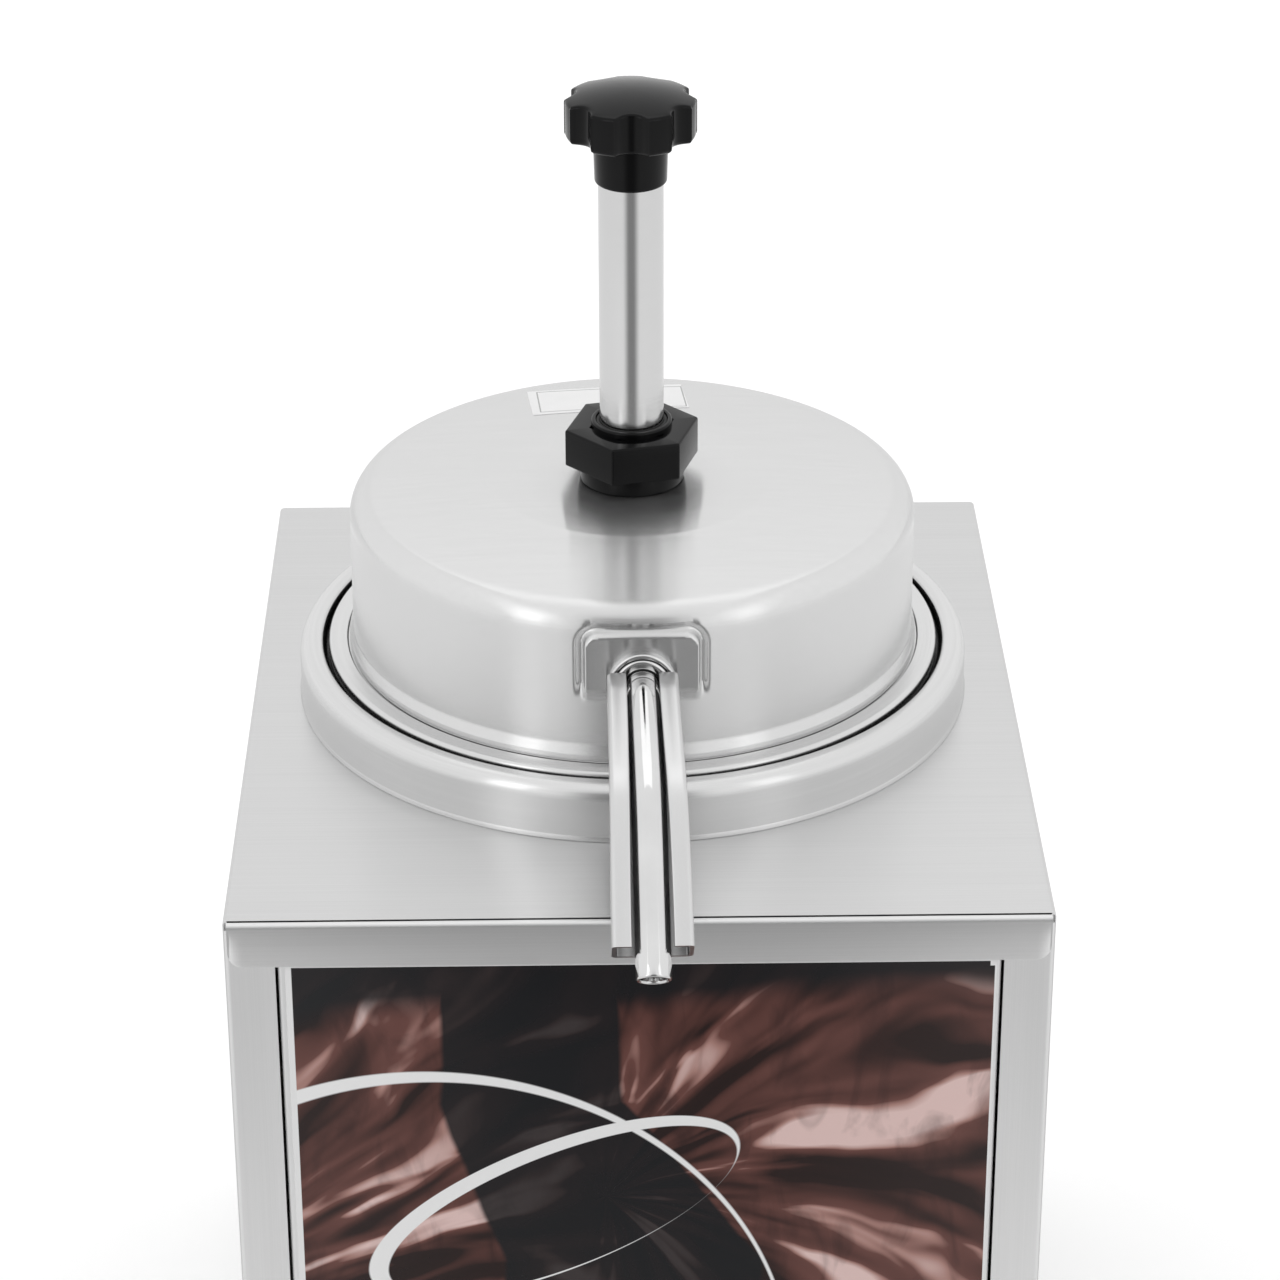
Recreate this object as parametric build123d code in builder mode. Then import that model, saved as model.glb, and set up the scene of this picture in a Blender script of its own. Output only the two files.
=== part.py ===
from build123d import *
import os
from math import cos, radians, sin, tan

# Heated pump dispenser for sauce: a steel housing with a water-bath well, a lift-out food pot, and a
# lid that carries the hand pump. Millimetres, +Z up, the front faces -Y, and the origin lies on the
# table under the centre of the housing.

os.makedirs("parts", exist_ok=True)

# ---------------------------------------------------------------- driving dimensions
body_w = 230.0          # housing width, X
body_d = 268.0          # housing depth, Y
foot_h = 14.0
deck_z = 262.0          # top face of the deck
sheet = 1.0             # housing sheet thickness
pot_sheet = 0.8         # pan, pot and lid sheet thickness
well_y = 10.5           # well and pump axis, behind the centre of the housing
flange_h = 13.0         # front flange below the deck edge
strip_w = 14.0          # folded returns beside the front and back panels

collar_r = 100.8        # outer radius of the well pan's raised collar
collar_top = 17.5       # collar crest above the deck
well_r = 84.8           # inner radius of the well pan
well_floor = -188.0     # pan floor, from the deck
ledge = 13.4            # ledge that carries the pot's flange
gasket_t = 0.5

pot_r = 78.0            # inner radius of the food pot
pot_floor = -165.0      # pot floor, from the deck
pot_flange_r = 92.1
pot_rim = 17.6          # top of the pot's flange

lid_r = 84.4            # skirt radius
lid_top = 68.0
lid_flat_r = 42.0       # flat crown
lid_drop = 3.0          # the crown slopes down to the skirt's corner by this much
lid_corner = 8.0

tube_r = 9.5            # plunger tube
tube_wall = 1.2
neck_r = 12.0           # threaded neck of the pump head
nut_af = 35.2
nut_turn = 12.8         # degrees
nut_z = 73.7
nut_h = 11.4
neck_top = 87.0
cylinder_r = 16.0
cylinder_bore = 14.6
running = 0.05          # radial clearance of a shaft in its bore
stroke = 65.0
piston_top = 10.0
piston_h = 16.0
knob_z = 161.7          # underside of the knob's hub
knob_hub_h = 13.7
knob_star_h = 12.1
knob_r = 19.05
knob_lobes = 7

spout_turn = 1.1        # degrees, the lid's rest position on the pot
spout_z = 43.6
spout_r = 5.0
spout_bore = 3.7
spout_slope = 14.0      # degrees below level, over the deck
tip_slope = 45.0        # degrees below level, at the tip
spout_knee = 137.5      # from the pump axis to the knee of the spout
tip_run = 48.4          # from the knee to the tip
guard_w = 21.4
guard_over = 4.5        # outer face of the guard's lips above the tube's centre line
guard_under = 8.0       # outer face of the guard's web below it
guard_sheet = 1.2
guard_slot = 10.6
guard_short = 8.5       # the guard ends this far before the tip
riser_rho = 24.5        # discharge tube, in front of the pump axis

valve_z = -152.0        # underside of the foot valve
valve_h = 26.0

control_z = 62.0        # centre of the controls on the right side wall
knob_y = 52.0
lamp_y = 12.0
rocker_y = -22.0
socket_z = 52.0         # centre of the power socket on the back

# ---------------------------------------------------------------- planes, axes and helpers
half_w = body_w / 2
front = -body_d / 2
back = body_d / 2
strip_y = front + sheet                      # the front strips stand one sheet behind the flange
wall_x = half_w - sheet                      # inner face of the right wall

well_plane = Plane(origin=(0, well_y, deck_z), x_dir=(1, 0, 0), z_dir=(0, -1, 0))
well_axis = Axis((0, well_y, 0), (0, 0, 1))
turn = radians(spout_turn)
forward = Vector(sin(turn), -cos(turn), 0)   # from the pump axis towards the spout
across = Vector(cos(turn), sin(turn), 0)
spout_plane = Plane(origin=(0, well_y, deck_z), x_dir=forward, z_dir=-across)


def level(z, x=0.0, y=well_y):
    """A horizontal plane at height z above the deck, centred on the pump axis by default."""
    return Plane(origin=(x, y, deck_z + z), x_dir=(1, 0, 0), z_dir=(0, 0, 1))


def table(z, x=0.0, y=0.0):
    """A horizontal plane at height z above the table."""
    return Plane(origin=(x, y, z), x_dir=(1, 0, 0), z_dir=(0, 0, 1))


def facing_spout(rho, z=spout_z):
    """A plane that faces forward, at distance rho in front of the pump axis and height z over the deck."""
    return Plane(origin=spout_plane.from_local_coords((rho, z, 0)), x_dir=across, z_dir=forward)


def facing_right(x, y, z):
    return Plane(origin=(x, y, z), x_dir=(0, 1, 0), z_dir=(1, 0, 0))


def facing_back(y, x, z):
    return Plane(origin=(x, y, z), x_dir=(-1, 0, 0), z_dir=(0, 1, 0))


def facing_front(y, x, z):
    return Plane(origin=(x, y, z), x_dir=(1, 0, 0), z_dir=(0, -1, 0))


def save(part, name):
    part.label = name
    export_step(part, f"parts/{name}.step")


def ring(outer, inner, z, height):
    """A ring about the pump axis that starts at height z above the deck."""
    with BuildPart() as made:
        with BuildSketch(level(z)):
            Circle(outer)
            Circle(inner, mode=Mode.SUBTRACT)
        extrude(amount=height)
    return made.part


def ring_on(plane, outer, inner, length):
    """A ring that stands on a plane."""
    with BuildPart() as made:
        with BuildSketch(plane):
            Circle(outer)
            Circle(inner, mode=Mode.SUBTRACT)
        extrude(amount=length)
    return made.part


def pipe(points, radii, radius, bore=0.0):
    """A round bar or tube along straight runs joined by arcs."""
    with BuildPart() as made:
        with BuildLine() as route:
            FilletPolyline(*points, radius=radii)
        wire = route.wires()[0]
        start = Plane(origin=wire @ 0, z_dir=wire % 0)
        with BuildSketch(start):
            Circle(radius)
        sweep(path=wire)
        if bore:
            with BuildSketch(start):
                Circle(bore)
            sweep(path=wire, mode=Mode.SUBTRACT)
    return made.part


def in_spout(points):
    """Points given as (distance in front of the pump axis, height above the deck)."""
    return [spout_plane.from_local_coords((rho, z, 0)) for rho, z in points]


def screws(places, head_r, head_h, shank_r, shank_l):
    """Pan-head screws with a cross recess. Each place is a plane on the seat, facing out of the head."""
    with BuildPart() as made:
        for place in places:
            with BuildSketch(place):
                Circle(head_r)
            extrude(amount=head_h, taper=12)
            with BuildSketch(place.offset(head_h - 0.9)):
                Rectangle(head_r * 1.1, 0.9)
                Rectangle(0.9, head_r * 1.1)
            extrude(amount=2.0, mode=Mode.SUBTRACT)
            with BuildSketch(place):
                Circle(shank_r)
            extrude(amount=-shank_l)
    return made.part


# ---------------------------------------------------------------- housing sheet metal
casing_h = deck_z - foot_h
window_w = body_w - 2 * strip_w
deck_hole_r = well_r + pot_sheet + 1.4
upright_bend = 1.6                           # outside radius of the casing's upright corners
deck_bend = 0.9                              # edge radius of the deck
shaft_hole_r = 5.4                           # openings for the controls in the right wall
lamp_hole_r = 4.7
rocker_cut = (13.4, 19.4)
flange_w = body_w - 2.4
front_window_h = casing_h - 3.0
bend = 1.2                                   # outside radius of the folded front edge
arc_mid = bend * (1 - sin(radians(45)))      # the middle of that bend, from its corner
screw_hole_r = 1.8                           # clearance holes for the panel screws
tapped_hole_r = 1.5
side_screw_ys = (-100.0, 100.0)
tray_flange_z = foot_h + 7.0
back_screw_zs = (34.0, 134.0, 236.0)
back_screw_x = half_w - strip_w / 2

with BuildPart() as casing:
    with BuildSketch(table(foot_h, y=(strip_y + back) / 2)):
        RectangleRounded(body_w, back - strip_y, upright_bend)
    extrude(amount=casing_h)
    fillet(casing.edges().group_by(Axis.Z)[-1], deck_bend)
    with BuildSketch(table(foot_h, y=(strip_y + back) / 2)):
        RectangleRounded(body_w - 2 * sheet, back - strip_y - 2 * sheet, upright_bend - sheet)
    extrude(amount=casing_h - sheet, mode=Mode.SUBTRACT)
    with BuildSketch(facing_front(strip_y + 2 * sheet, 0, foot_h + front_window_h / 2)):
        Rectangle(window_w, front_window_h)
    extrude(amount=6, mode=Mode.SUBTRACT)
    with BuildSketch(facing_right(-flange_w / 2, front, deck_z - flange_h)):
        with BuildLine():
            Polyline((0, 0), (0, flange_h - bend))
            ThreePointArc((0, flange_h - bend), (arc_mid, flange_h - arc_mid), (bend, flange_h))
            Polyline((bend, flange_h), (3 * sheet, flange_h), (3 * sheet, flange_h - sheet),
                     (sheet, flange_h - sheet), (sheet, 0), (0, 0))
        make_face()
    extrude(amount=flange_w)
    with BuildSketch(facing_back(back - 2 * sheet, 0, foot_h + (casing_h - flange_h) / 2)):
        Rectangle(window_w, casing_h - flange_h)
    extrude(amount=6, mode=Mode.SUBTRACT)
    with BuildSketch(level(-6)):
        Circle(deck_hole_r)
    extrude(amount=12, mode=Mode.SUBTRACT)
    with BuildSketch(facing_right(wall_x, knob_y, control_z)):
        Circle(shaft_hole_r)
    extrude(amount=sheet, mode=Mode.SUBTRACT)
    with BuildSketch(facing_right(wall_x, lamp_y, control_z)):
        Circle(lamp_hole_r)
    extrude(amount=sheet, mode=Mode.SUBTRACT)
    with BuildSketch(facing_right(wall_x, rocker_y, control_z)):
        Rectangle(*rocker_cut)
    extrude(amount=sheet, mode=Mode.SUBTRACT)
    for side in (-1, 1):
        for y in side_screw_ys:
            with BuildSketch(facing_right(side * half_w - 3, y, tray_flange_z)):
                Circle(screw_hole_r)
            extrude(amount=6, mode=Mode.SUBTRACT)
        for z in back_screw_zs:
            with BuildSketch(facing_back(back - 3, side * back_screw_x, z)):
                Circle(screw_hole_r)
            extrude(amount=6, mode=Mode.SUBTRACT)
save(casing.part, "casing")

panel_gap = 0.7
panel_w = window_w - 2 * panel_gap
panel_top = deck_z - 4.0
panel_bottom = foot_h + 0.5
panel_flange_foot = foot_h + 16.0            # the panel's folded sides stop above the base tray
panel_y = strip_y + 0.1                      # front face of the panel, just behind the flange
panel_return = 10.0                          # depth of its folded sides
with BuildPart() as front_panel:
    with BuildSketch(facing_front(panel_y + sheet, 0, (panel_top + panel_bottom) / 2)):
        Rectangle(panel_w, panel_top - panel_bottom)
    extrude(amount=sheet)
    for side in (-1, 1):
        return_x = side * (panel_w - sheet) / 2
        with BuildSketch(table(panel_flange_foot, x=return_x, y=panel_y + panel_return / 2)):
            Rectangle(sheet, panel_return)
        extrude(amount=panel_top - panel_flange_foot - 2)
save(front_panel.part, "front_panel")

film_t = 0.25
film_x = 0.4                                 # the film is stuck on a little right of centre
film_w = panel_w - 3.2
film_top = deck_z - flange_h - 0.4
film_bottom = panel_bottom + 2.0
with BuildPart() as front_graphic:
    with BuildSketch(facing_front(panel_y, film_x, (film_top + film_bottom) / 2)):
        RectangleRounded(film_w, film_top - film_bottom, 0.8)
    extrude(amount=film_t)
save(front_graphic.part, "front_graphic")

socket_cut = (28.4, 20.6)
socket_screw_x = 20.0
panel_mid = (panel_top + panel_bottom) / 2
vent_rows = 6
vent_pitch = 13.0
vent_size = (62.0, 5.0)
with BuildPart() as back_panel:
    with BuildSketch(facing_back(back - 2 * sheet - 0.1, 0, panel_mid)):
        Rectangle(body_w - 2 * sheet - 1.2, panel_top - panel_bottom)
        with Locations((0, socket_z - panel_mid)):
            Rectangle(*socket_cut, mode=Mode.SUBTRACT)
            with GridLocations(2 * socket_screw_x, 1, 2, 1):
                Circle(1.6, mode=Mode.SUBTRACT)
        with Locations((0, 48)):
            with GridLocations(84, vent_pitch, 2, vent_rows):
                SlotOverall(*vent_size, mode=Mode.SUBTRACT)
        with GridLocations(2 * back_screw_x, 1, 2, 1):
            with Locations(*[(0, z - panel_mid) for z in back_screw_zs]):
                Circle(tapped_hole_r, mode=Mode.SUBTRACT)
    extrude(amount=sheet)
save(back_panel.part, "back_panel")

tray_w = body_w - 2 * sheet - 0.6
tray_d = back - strip_y - 2 * sheet - 4.4
tray_y = (strip_y + back) / 2
tray_h = 13.0
foot_x, foot_y = 92.0, 108.0
foot_places = [(x, y) for x in (-foot_x, foot_x) for y in (-foot_y, foot_y)]
foot_hole_r = 2.1
with BuildPart() as base_tray:
    with BuildSketch(table(foot_h, y=tray_y)):
        Rectangle(tray_w, tray_d)
    extrude(amount=tray_h)
    with BuildSketch(table(foot_h + sheet, y=tray_y)):
        Rectangle(tray_w - 2 * sheet, tray_d - 2 * sheet)
    extrude(amount=tray_h, mode=Mode.SUBTRACT)
    with BuildSketch(table(foot_h - 1)):
        with Locations(*foot_places):
            Circle(foot_hole_r)
        with Locations((0, 0)):
            with GridLocations(60, 14, 2, 5):
                SlotOverall(44, 5)
    extrude(amount=4, mode=Mode.SUBTRACT)
    for side in (-1, 1):
        for y in side_screw_ys:
            with BuildSketch(facing_right(side * tray_w / 2 - 2, y, tray_flange_z)):
                Circle(tapped_hole_r)
            extrude(amount=4, mode=Mode.SUBTRACT)
save(base_tray.part, "base_tray")

foot_r = 11.0
foot_recess_r = 5.0                          # the screw's head sits in the sole
foot_recess = 8.0
with BuildPart() as feet:
    for x, y in foot_places:
        with BuildSketch(table(foot_h, x=x, y=y)):
            Circle(foot_r)
        extrude(amount=-foot_h, taper=6)
        with BuildSketch(table(0, x=x, y=y)):
            Circle(foot_recess_r)
        extrude(amount=foot_recess, mode=Mode.SUBTRACT)
        with BuildSketch(table(0, x=x, y=y)):
            Circle(foot_hole_r)
        extrude(amount=foot_h, mode=Mode.SUBTRACT)
save(feet.part, "feet")

foot_seats = [Plane(origin=(x, y, foot_recess), x_dir=(1, 0, 0), z_dir=(0, 0, -1)) for x, y in foot_places]
save(screws(foot_seats, 4.0, 2.4, 2.0, 12.0), "foot_screws")

side_seats = [Plane(origin=(s * half_w, y, tray_flange_z), x_dir=(0, 1, 0), z_dir=(s, 0, 0))
              for s in (-1, 1) for y in side_screw_ys]
back_seats = [facing_back(back, s * back_screw_x, z) for s in (-1, 1) for z in back_screw_zs]
save(screws(side_seats + back_seats, 3.0, 1.9, 1.45, 7.0), "panel_screws")

# ---------------------------------------------------------------- well, heater and insulation
recess_r = pot_flange_r + 1.4                # inner edge of the collar, around the pot's flange
with BuildPart() as well_pan:
    with BuildSketch(well_plane):
        with BuildLine():
            FilletPolyline(
                (collar_r, gasket_t), (collar_r, collar_top), (recess_r, collar_top), (recess_r, ledge),
                (well_r, ledge), (well_r, well_floor), (0, well_floor),
                radius=[4.6, 2.3, 1.2, 1.2, 9])
            offset(amount=pot_sheet, side=Side.LEFT)
        make_face()
    revolve(axis=well_axis)
save(well_pan.part, "well_pan")

save(ring(collar_r - 0.3, deck_hole_r + 6, 0.0, gasket_t), "well_gasket")

wrap_r = 100.0
wrap_foot = well_floor + 12.0
with BuildPart() as insulation_wrap:
    with BuildSketch(level(wrap_foot)):
        Circle(wrap_r)
        Circle(well_r + pot_sheet + 0.2, mode=Mode.SUBTRACT)
    extrude(amount=-wrap_foot - sheet - 4)
save(insulation_wrap.part, "insulation_wrap")

pan_under = well_floor - pot_sheet
plate_t = 6.0
plate_r = 58.0
bar_y = 27.0                                 # the clamp bars lie this far either side of the pump axis
bar_w, bar_d, bar_t = 104.0, 14.0, 2.5
with BuildPart() as heater_plate:
    with BuildSketch(level(pan_under)):
        Circle(plate_r)
    extrude(amount=-plate_t)
    with BuildSketch(level(pan_under - plate_t)):
        with PolarLocations(bar_y, 2, start_angle=90):
            Circle(2.0)
    extrude(amount=4.5, mode=Mode.SUBTRACT)
save(heater_plate.part, "heater_plate")

element_r = 3.6
element_z = pan_under - plate_t - element_r
bend_r = 43.0
leg_end = 66.0
with BuildPart() as heater_element:
    with BuildLine() as element_route:
        Line((-bend_r, well_y + leg_end, deck_z + element_z), (-bend_r, well_y, deck_z + element_z))
        ThreePointArc((-bend_r, well_y, deck_z + element_z), (0, well_y - bend_r, deck_z + element_z),
                      (bend_r, well_y, deck_z + element_z))
        Line((bend_r, well_y, deck_z + element_z), (bend_r, well_y + leg_end, deck_z + element_z))
    element_wire = element_route.wires()[0]
    with BuildSketch(Plane(origin=element_wire @ 0, z_dir=element_wire % 0)):
        Circle(element_r)
    sweep(path=element_wire)
    for side in (-1, 1):
        with BuildSketch(facing_back(well_y + leg_end, side * bend_r, deck_z + element_z)):
            Rectangle(0.8, 6.3)
        extrude(amount=8)
save(heater_element.part, "heater_element")

bar_z = element_z - element_r
with BuildPart() as heater_bars:
    for y in (-bar_y, bar_y):
        with BuildSketch(level(bar_z, y=well_y + y)):
            Rectangle(bar_w, bar_d)
        extrude(amount=-bar_t)
        with BuildSketch(level(bar_z - 4, y=well_y + y)):
            Circle(2.2)
        extrude(amount=6, mode=Mode.SUBTRACT)
save(heater_bars.part, "heater_bars")

bar_screw_seats = [Plane(origin=(0, well_y + y, deck_z + bar_z - bar_t), x_dir=(1, 0, 0), z_dir=(0, 0, -1))
                   for y in (-bar_y, bar_y)]
save(screws(bar_screw_seats, 3.8, 2.4, 1.95, bar_t + 2 * element_r + 4.2), "heater_screws")

with BuildPart() as thermal_cutout:
    with BuildSketch(level(pan_under - plate_t)):
        Circle(8.0)
    extrude(amount=-5.0)
    with BuildSketch(level(pan_under - plate_t - 5.0)):
        Rectangle(14, 10)
    extrude(amount=-5.0)
save(thermal_cutout.part, "thermal_cutout")

# ---------------------------------------------------------------- food pot
pot_corner = 12.0
with BuildPart() as food_pot:
    with BuildSketch(well_plane):
        with BuildLine():
            FilletPolyline(
                (pot_flange_r, pot_rim - 3.2), (pot_flange_r, pot_rim), (pot_r, pot_rim),
                (pot_r, pot_floor), (0, pot_floor),
                radius=[1.5, 2.0, pot_corner])
            offset(amount=pot_sheet, side=Side.LEFT)
        make_face()
    revolve(axis=well_axis)
save(food_pot.part, "food_pot")

# ---------------------------------------------------------------- lid
skirt_foot = pot_rim + 0.3
lip_r = lid_r + 1.2
neck_hole = neck_r + 0.2
sleeve_r = 7.9
with BuildPart() as lid_shell:
    with BuildSketch(well_plane):
        with BuildLine():
            FilletPolyline(
                (neck_hole, lid_top), (lid_flat_r, lid_top), (lid_r, lid_top - lid_drop),
                (lid_r, skirt_foot + 4.5), (lip_r, skirt_foot + 1.5), (lip_r, skirt_foot),
                radius=[60.0, lid_corner, 2.5, 1.2])
            offset(amount=pot_sheet, side=Side.RIGHT)
        make_face()
    revolve(axis=well_axis)
    with BuildSketch(facing_spout(lid_r - 8)):
        Circle(sleeve_r + 0.2)
    extrude(amount=16, mode=Mode.SUBTRACT)
save(lid_shell.part, "lid_shell")

label_x = (-30.0, 18.0)
label_rho = (46.0, 62.0)
label_t = 0.12
crown_slope = lid_drop / (lid_r - lid_flat_r)
near_rho, far_rho = 44.0, 74.0               # the label is cut out of a thin cone over this part of the crown
near_z = lid_top - (near_rho - lid_flat_r) * crown_slope
far_z = lid_top - (far_rho - lid_flat_r) * crown_slope
with BuildPart() as lid_label:
    with BuildSketch(well_plane):
        with BuildLine():
            Polyline((near_rho, near_z), (far_rho, far_z), (far_rho, far_z + label_t),
                     (near_rho, near_z + label_t), close=True)
        make_face()
    revolve(axis=well_axis)
    with BuildSketch(level(lid_top - 10, x=sum(label_x) / 2, y=well_y + sum(label_rho) / 2)):
        RectangleRounded(label_x[1] - label_x[0], label_rho[1] - label_rho[0], 1.0)
    extrude(amount=20, mode=Mode.INTERSECT)
save(lid_label.part, "lid_label")

# ---------------------------------------------------------------- pump head, nut and cylinder
head_r = 17.0
head_foot = 60.0
spigot_foot = 50.0
wiper_seat_h = 4.0
with BuildPart() as pump_head:
    with BuildSketch(level(head_foot)):
        Circle(head_r)
    extrude(amount=lid_top - pot_sheet - head_foot)
    with BuildSketch(level(spigot_foot)):
        Circle(cylinder_bore - running)
    extrude(amount=head_foot - spigot_foot)
    with BuildSketch(level(head_foot)):
        Circle(neck_r)
    extrude(amount=neck_top - head_foot)
    with BuildSketch(level(spigot_foot)):
        Circle(tube_r + running)
    extrude(amount=neck_top - spigot_foot, mode=Mode.SUBTRACT)
    with BuildSketch(level(neck_top - wiper_seat_h)):
        Circle(tube_r + 1.2)
    extrude(amount=wiper_seat_h, mode=Mode.SUBTRACT)
save(pump_head.part, "pump_head")

save(ring(tube_r + 1.15, tube_r + running, neck_top - wiper_seat_h + 0.1, 3.6), "neck_wiper")

washer_r = 16.3
with BuildPart() as nut_washer:
    with BuildSketch(level(lid_top)):
        Circle(washer_r)
        Circle(neck_hole, mode=Mode.SUBTRACT)
    extrude(amount=nut_z - lid_top)
    chamfer(nut_washer.edges().group_by(Axis.Z)[-1].sort_by(SortBy.LENGTH)[-1], 0.8)
save(nut_washer.part, "nut_washer")

nut_top = nut_z + nut_h
nut_dome_r = 16.6                            # the nut's corners are cut off by a cone outside this radius
with BuildPart() as hex_nut:
    with BuildSketch(level(nut_z)):
        RegularPolygon(radius=nut_af / 2, side_count=6, major_radius=False, rotation=nut_turn)
    extrude(amount=nut_h)
    with BuildSketch(well_plane):
        with BuildLine():
            Polyline((nut_dome_r, nut_top), (24.0, nut_top), (24.0, nut_top - 2.6), close=True)
        make_face()
    revolve(axis=well_axis, mode=Mode.SUBTRACT)
    with BuildSketch(level(nut_z - 1)):
        Circle(neck_r + 0.02)
    extrude(amount=nut_h + 2, mode=Mode.SUBTRACT)
save(hex_nut.part, "hex_nut")

spigot_top = valve_z + valve_h + 10.0
save(ring(cylinder_r, cylinder_bore, valve_z + valve_h, head_foot - valve_z - valve_h), "pump_cylinder")

# foot valve: an inlet ball under the cylinder and an outlet ball at the foot of the riser
inlet_ball_r = 6.5
inlet_seat_r = 5.0
inlet_seat_z = valve_z + 10.0
inlet_chamber_r = 8.0
retainer_z = valve_z + valve_h - 1.5
outlet_ball_r = 4.0
outlet_seat_r = 3.0
outlet_chamber_r = 4.7
riser_foot = valve_z + valve_h + 26.0
outlet_seat_z = riser_foot - 10.4
block_r = 7.5
passage_z = retainer_z - 6.0
riser_place = spout_plane.from_local_coords((riser_rho, 0, 0))
with BuildPart() as foot_valve:
    with BuildSketch(level(valve_z)):
        Circle(16.8)
    extrude(amount=valve_h)
    with BuildSketch(level(valve_z + valve_h)):
        Circle(cylinder_bore - running)
    extrude(amount=10.0)
    with BuildSketch(level(valve_z, x=riser_place.X, y=riser_place.Y)):
        Circle(block_r)
    extrude(amount=riser_foot + 8.0 - valve_z)
    with BuildSketch(Plane(origin=(0, well_y, deck_z + valve_z), x_dir=forward, z_dir=(0, 0, 1))):
        with Locations((riser_rho / 2, 0)):
            Rectangle(riser_rho, 2 * block_r)
    extrude(amount=valve_h)
    with BuildSketch(level(valve_z)):
        Circle(inlet_seat_r)
    extrude(amount=valve_h + 10.0, mode=Mode.SUBTRACT)
    with BuildSketch(level(inlet_seat_z)):
        Circle(inlet_chamber_r)
    extrude(amount=valve_h + 10.0, mode=Mode.SUBTRACT)
    with BuildSketch(facing_spout(0, passage_z)):
        Circle(2.6)
    extrude(amount=riser_rho, mode=Mode.SUBTRACT)
    with BuildSketch(level(passage_z - 3.0, x=riser_place.X, y=riser_place.Y)):
        Circle(outlet_seat_r)
    extrude(amount=60, mode=Mode.SUBTRACT)
    with BuildSketch(level(outlet_seat_z, x=riser_place.X, y=riser_place.Y)):
        Circle(outlet_chamber_r)
    extrude(amount=60, mode=Mode.SUBTRACT)
    with BuildSketch(level(riser_foot, x=riser_place.X, y=riser_place.Y)):
        Circle(spout_r)
    extrude(amount=60, mode=Mode.SUBTRACT)
    for angle in (0, 60, 120):
        slot_dir = Vector(cos(radians(angle)), sin(radians(angle)), 0)
        with BuildSketch(Plane(origin=(0, well_y, deck_z + valve_z), x_dir=slot_dir, z_dir=(0, 0, 1))):
            Rectangle(60, 5)
        extrude(amount=3.0, mode=Mode.SUBTRACT)
save(foot_valve.part, "foot_valve")

save(ring(inlet_chamber_r, 4.2, retainer_z, 1.5), "ball_retainer")


def ball(radius, seat_radius, seat_z, rho):
    """A ball that rests just above its seat's edge."""
    centre_z = seat_z + (radius ** 2 - seat_radius ** 2) ** 0.5 + 0.1
    centre = spout_plane.from_local_coords((rho, centre_z, 0))
    with BuildPart() as made:
        with Locations(centre):
            Sphere(radius)
    return made.part


save(ball(inlet_ball_r, inlet_seat_r, inlet_seat_z, 0), "inlet_ball")
save(ball(outlet_ball_r, outlet_seat_r, outlet_seat_z, riser_rho), "outlet_ball")

# ---------------------------------------------------------------- discharge, spout and guard
sleeve_back = 70.0
nut_back = lid_r + 0.05
nut_face = nut_back + 3.0
fitting_r = 9.5
straight_end = 92.0                          # the spout leaves the lid level up to here, then slopes down
knee_z = spout_z - (spout_knee - straight_end) * tan(radians(spout_slope))
tip_rho = spout_knee + tip_run * cos(radians(tip_slope))
tip_z = knee_z - tip_run * sin(radians(tip_slope))
guard_run = tip_run - guard_short
guard_end = (spout_knee + guard_run * cos(radians(tip_slope)), knee_z - guard_run * sin(radians(tip_slope)))
riser_points = in_spout([(riser_rho, riser_foot), (riser_rho, spout_z), (sleeve_back + 4, spout_z)])
save(pipe(riser_points, [20.0], spout_r, spout_bore), "discharge_tube")

spout_points = in_spout([(sleeve_back + 4, spout_z), (straight_end, spout_z), (spout_knee, knee_z),
                         (tip_rho, tip_z)])
spout_radii = [40.0, 46.0]
with BuildPart() as spout_tube:
    add(pipe(spout_points, spout_radii, spout_r, spout_bore))
    fillet(spout_tube.edges().filter_by(GeomType.CIRCLE).group_by(Axis.Y)[0], 0.4)
save(spout_tube.part, "spout_tube")

guard_start = nut_face + 0.8
guard_points = in_spout([(guard_start, spout_z), (straight_end, spout_z), (spout_knee, knee_z), guard_end])
guard_mid = (guard_over - guard_under) / 2
guard_depth = guard_over + guard_under
with BuildPart() as spout_guard:
    with BuildLine() as guard_route:
        FilletPolyline(*guard_points, radius=[30.0, 46.0])
    guard_wire = guard_route.wires()[0]
    guard_face = Plane(origin=guard_wire @ 0, x_dir=across, z_dir=guard_wire % 0)
    with BuildSketch(guard_face):
        with Locations((0, guard_mid)):
            Rectangle(guard_w, guard_depth)
            Rectangle(guard_w - 2 * guard_sheet, guard_depth - 2 * guard_sheet, mode=Mode.SUBTRACT)
        with Locations((0, guard_over)):
            Rectangle(guard_slot, 4 * guard_sheet, mode=Mode.SUBTRACT)
    sweep(path=guard_wire)
    with BuildSketch(facing_spout(guard_start, spout_z + guard_mid)):
        Rectangle(guard_w, guard_depth)
    extrude(amount=guard_sheet)
    with BuildSketch(facing_spout(guard_start - 1, spout_z)):
        Circle(spout_r + 0.3)
        with Locations((0, 5)):
            Rectangle(guard_slot, 10)
    extrude(amount=4, mode=Mode.SUBTRACT)
save(spout_guard.part, "spout_guard")

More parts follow.
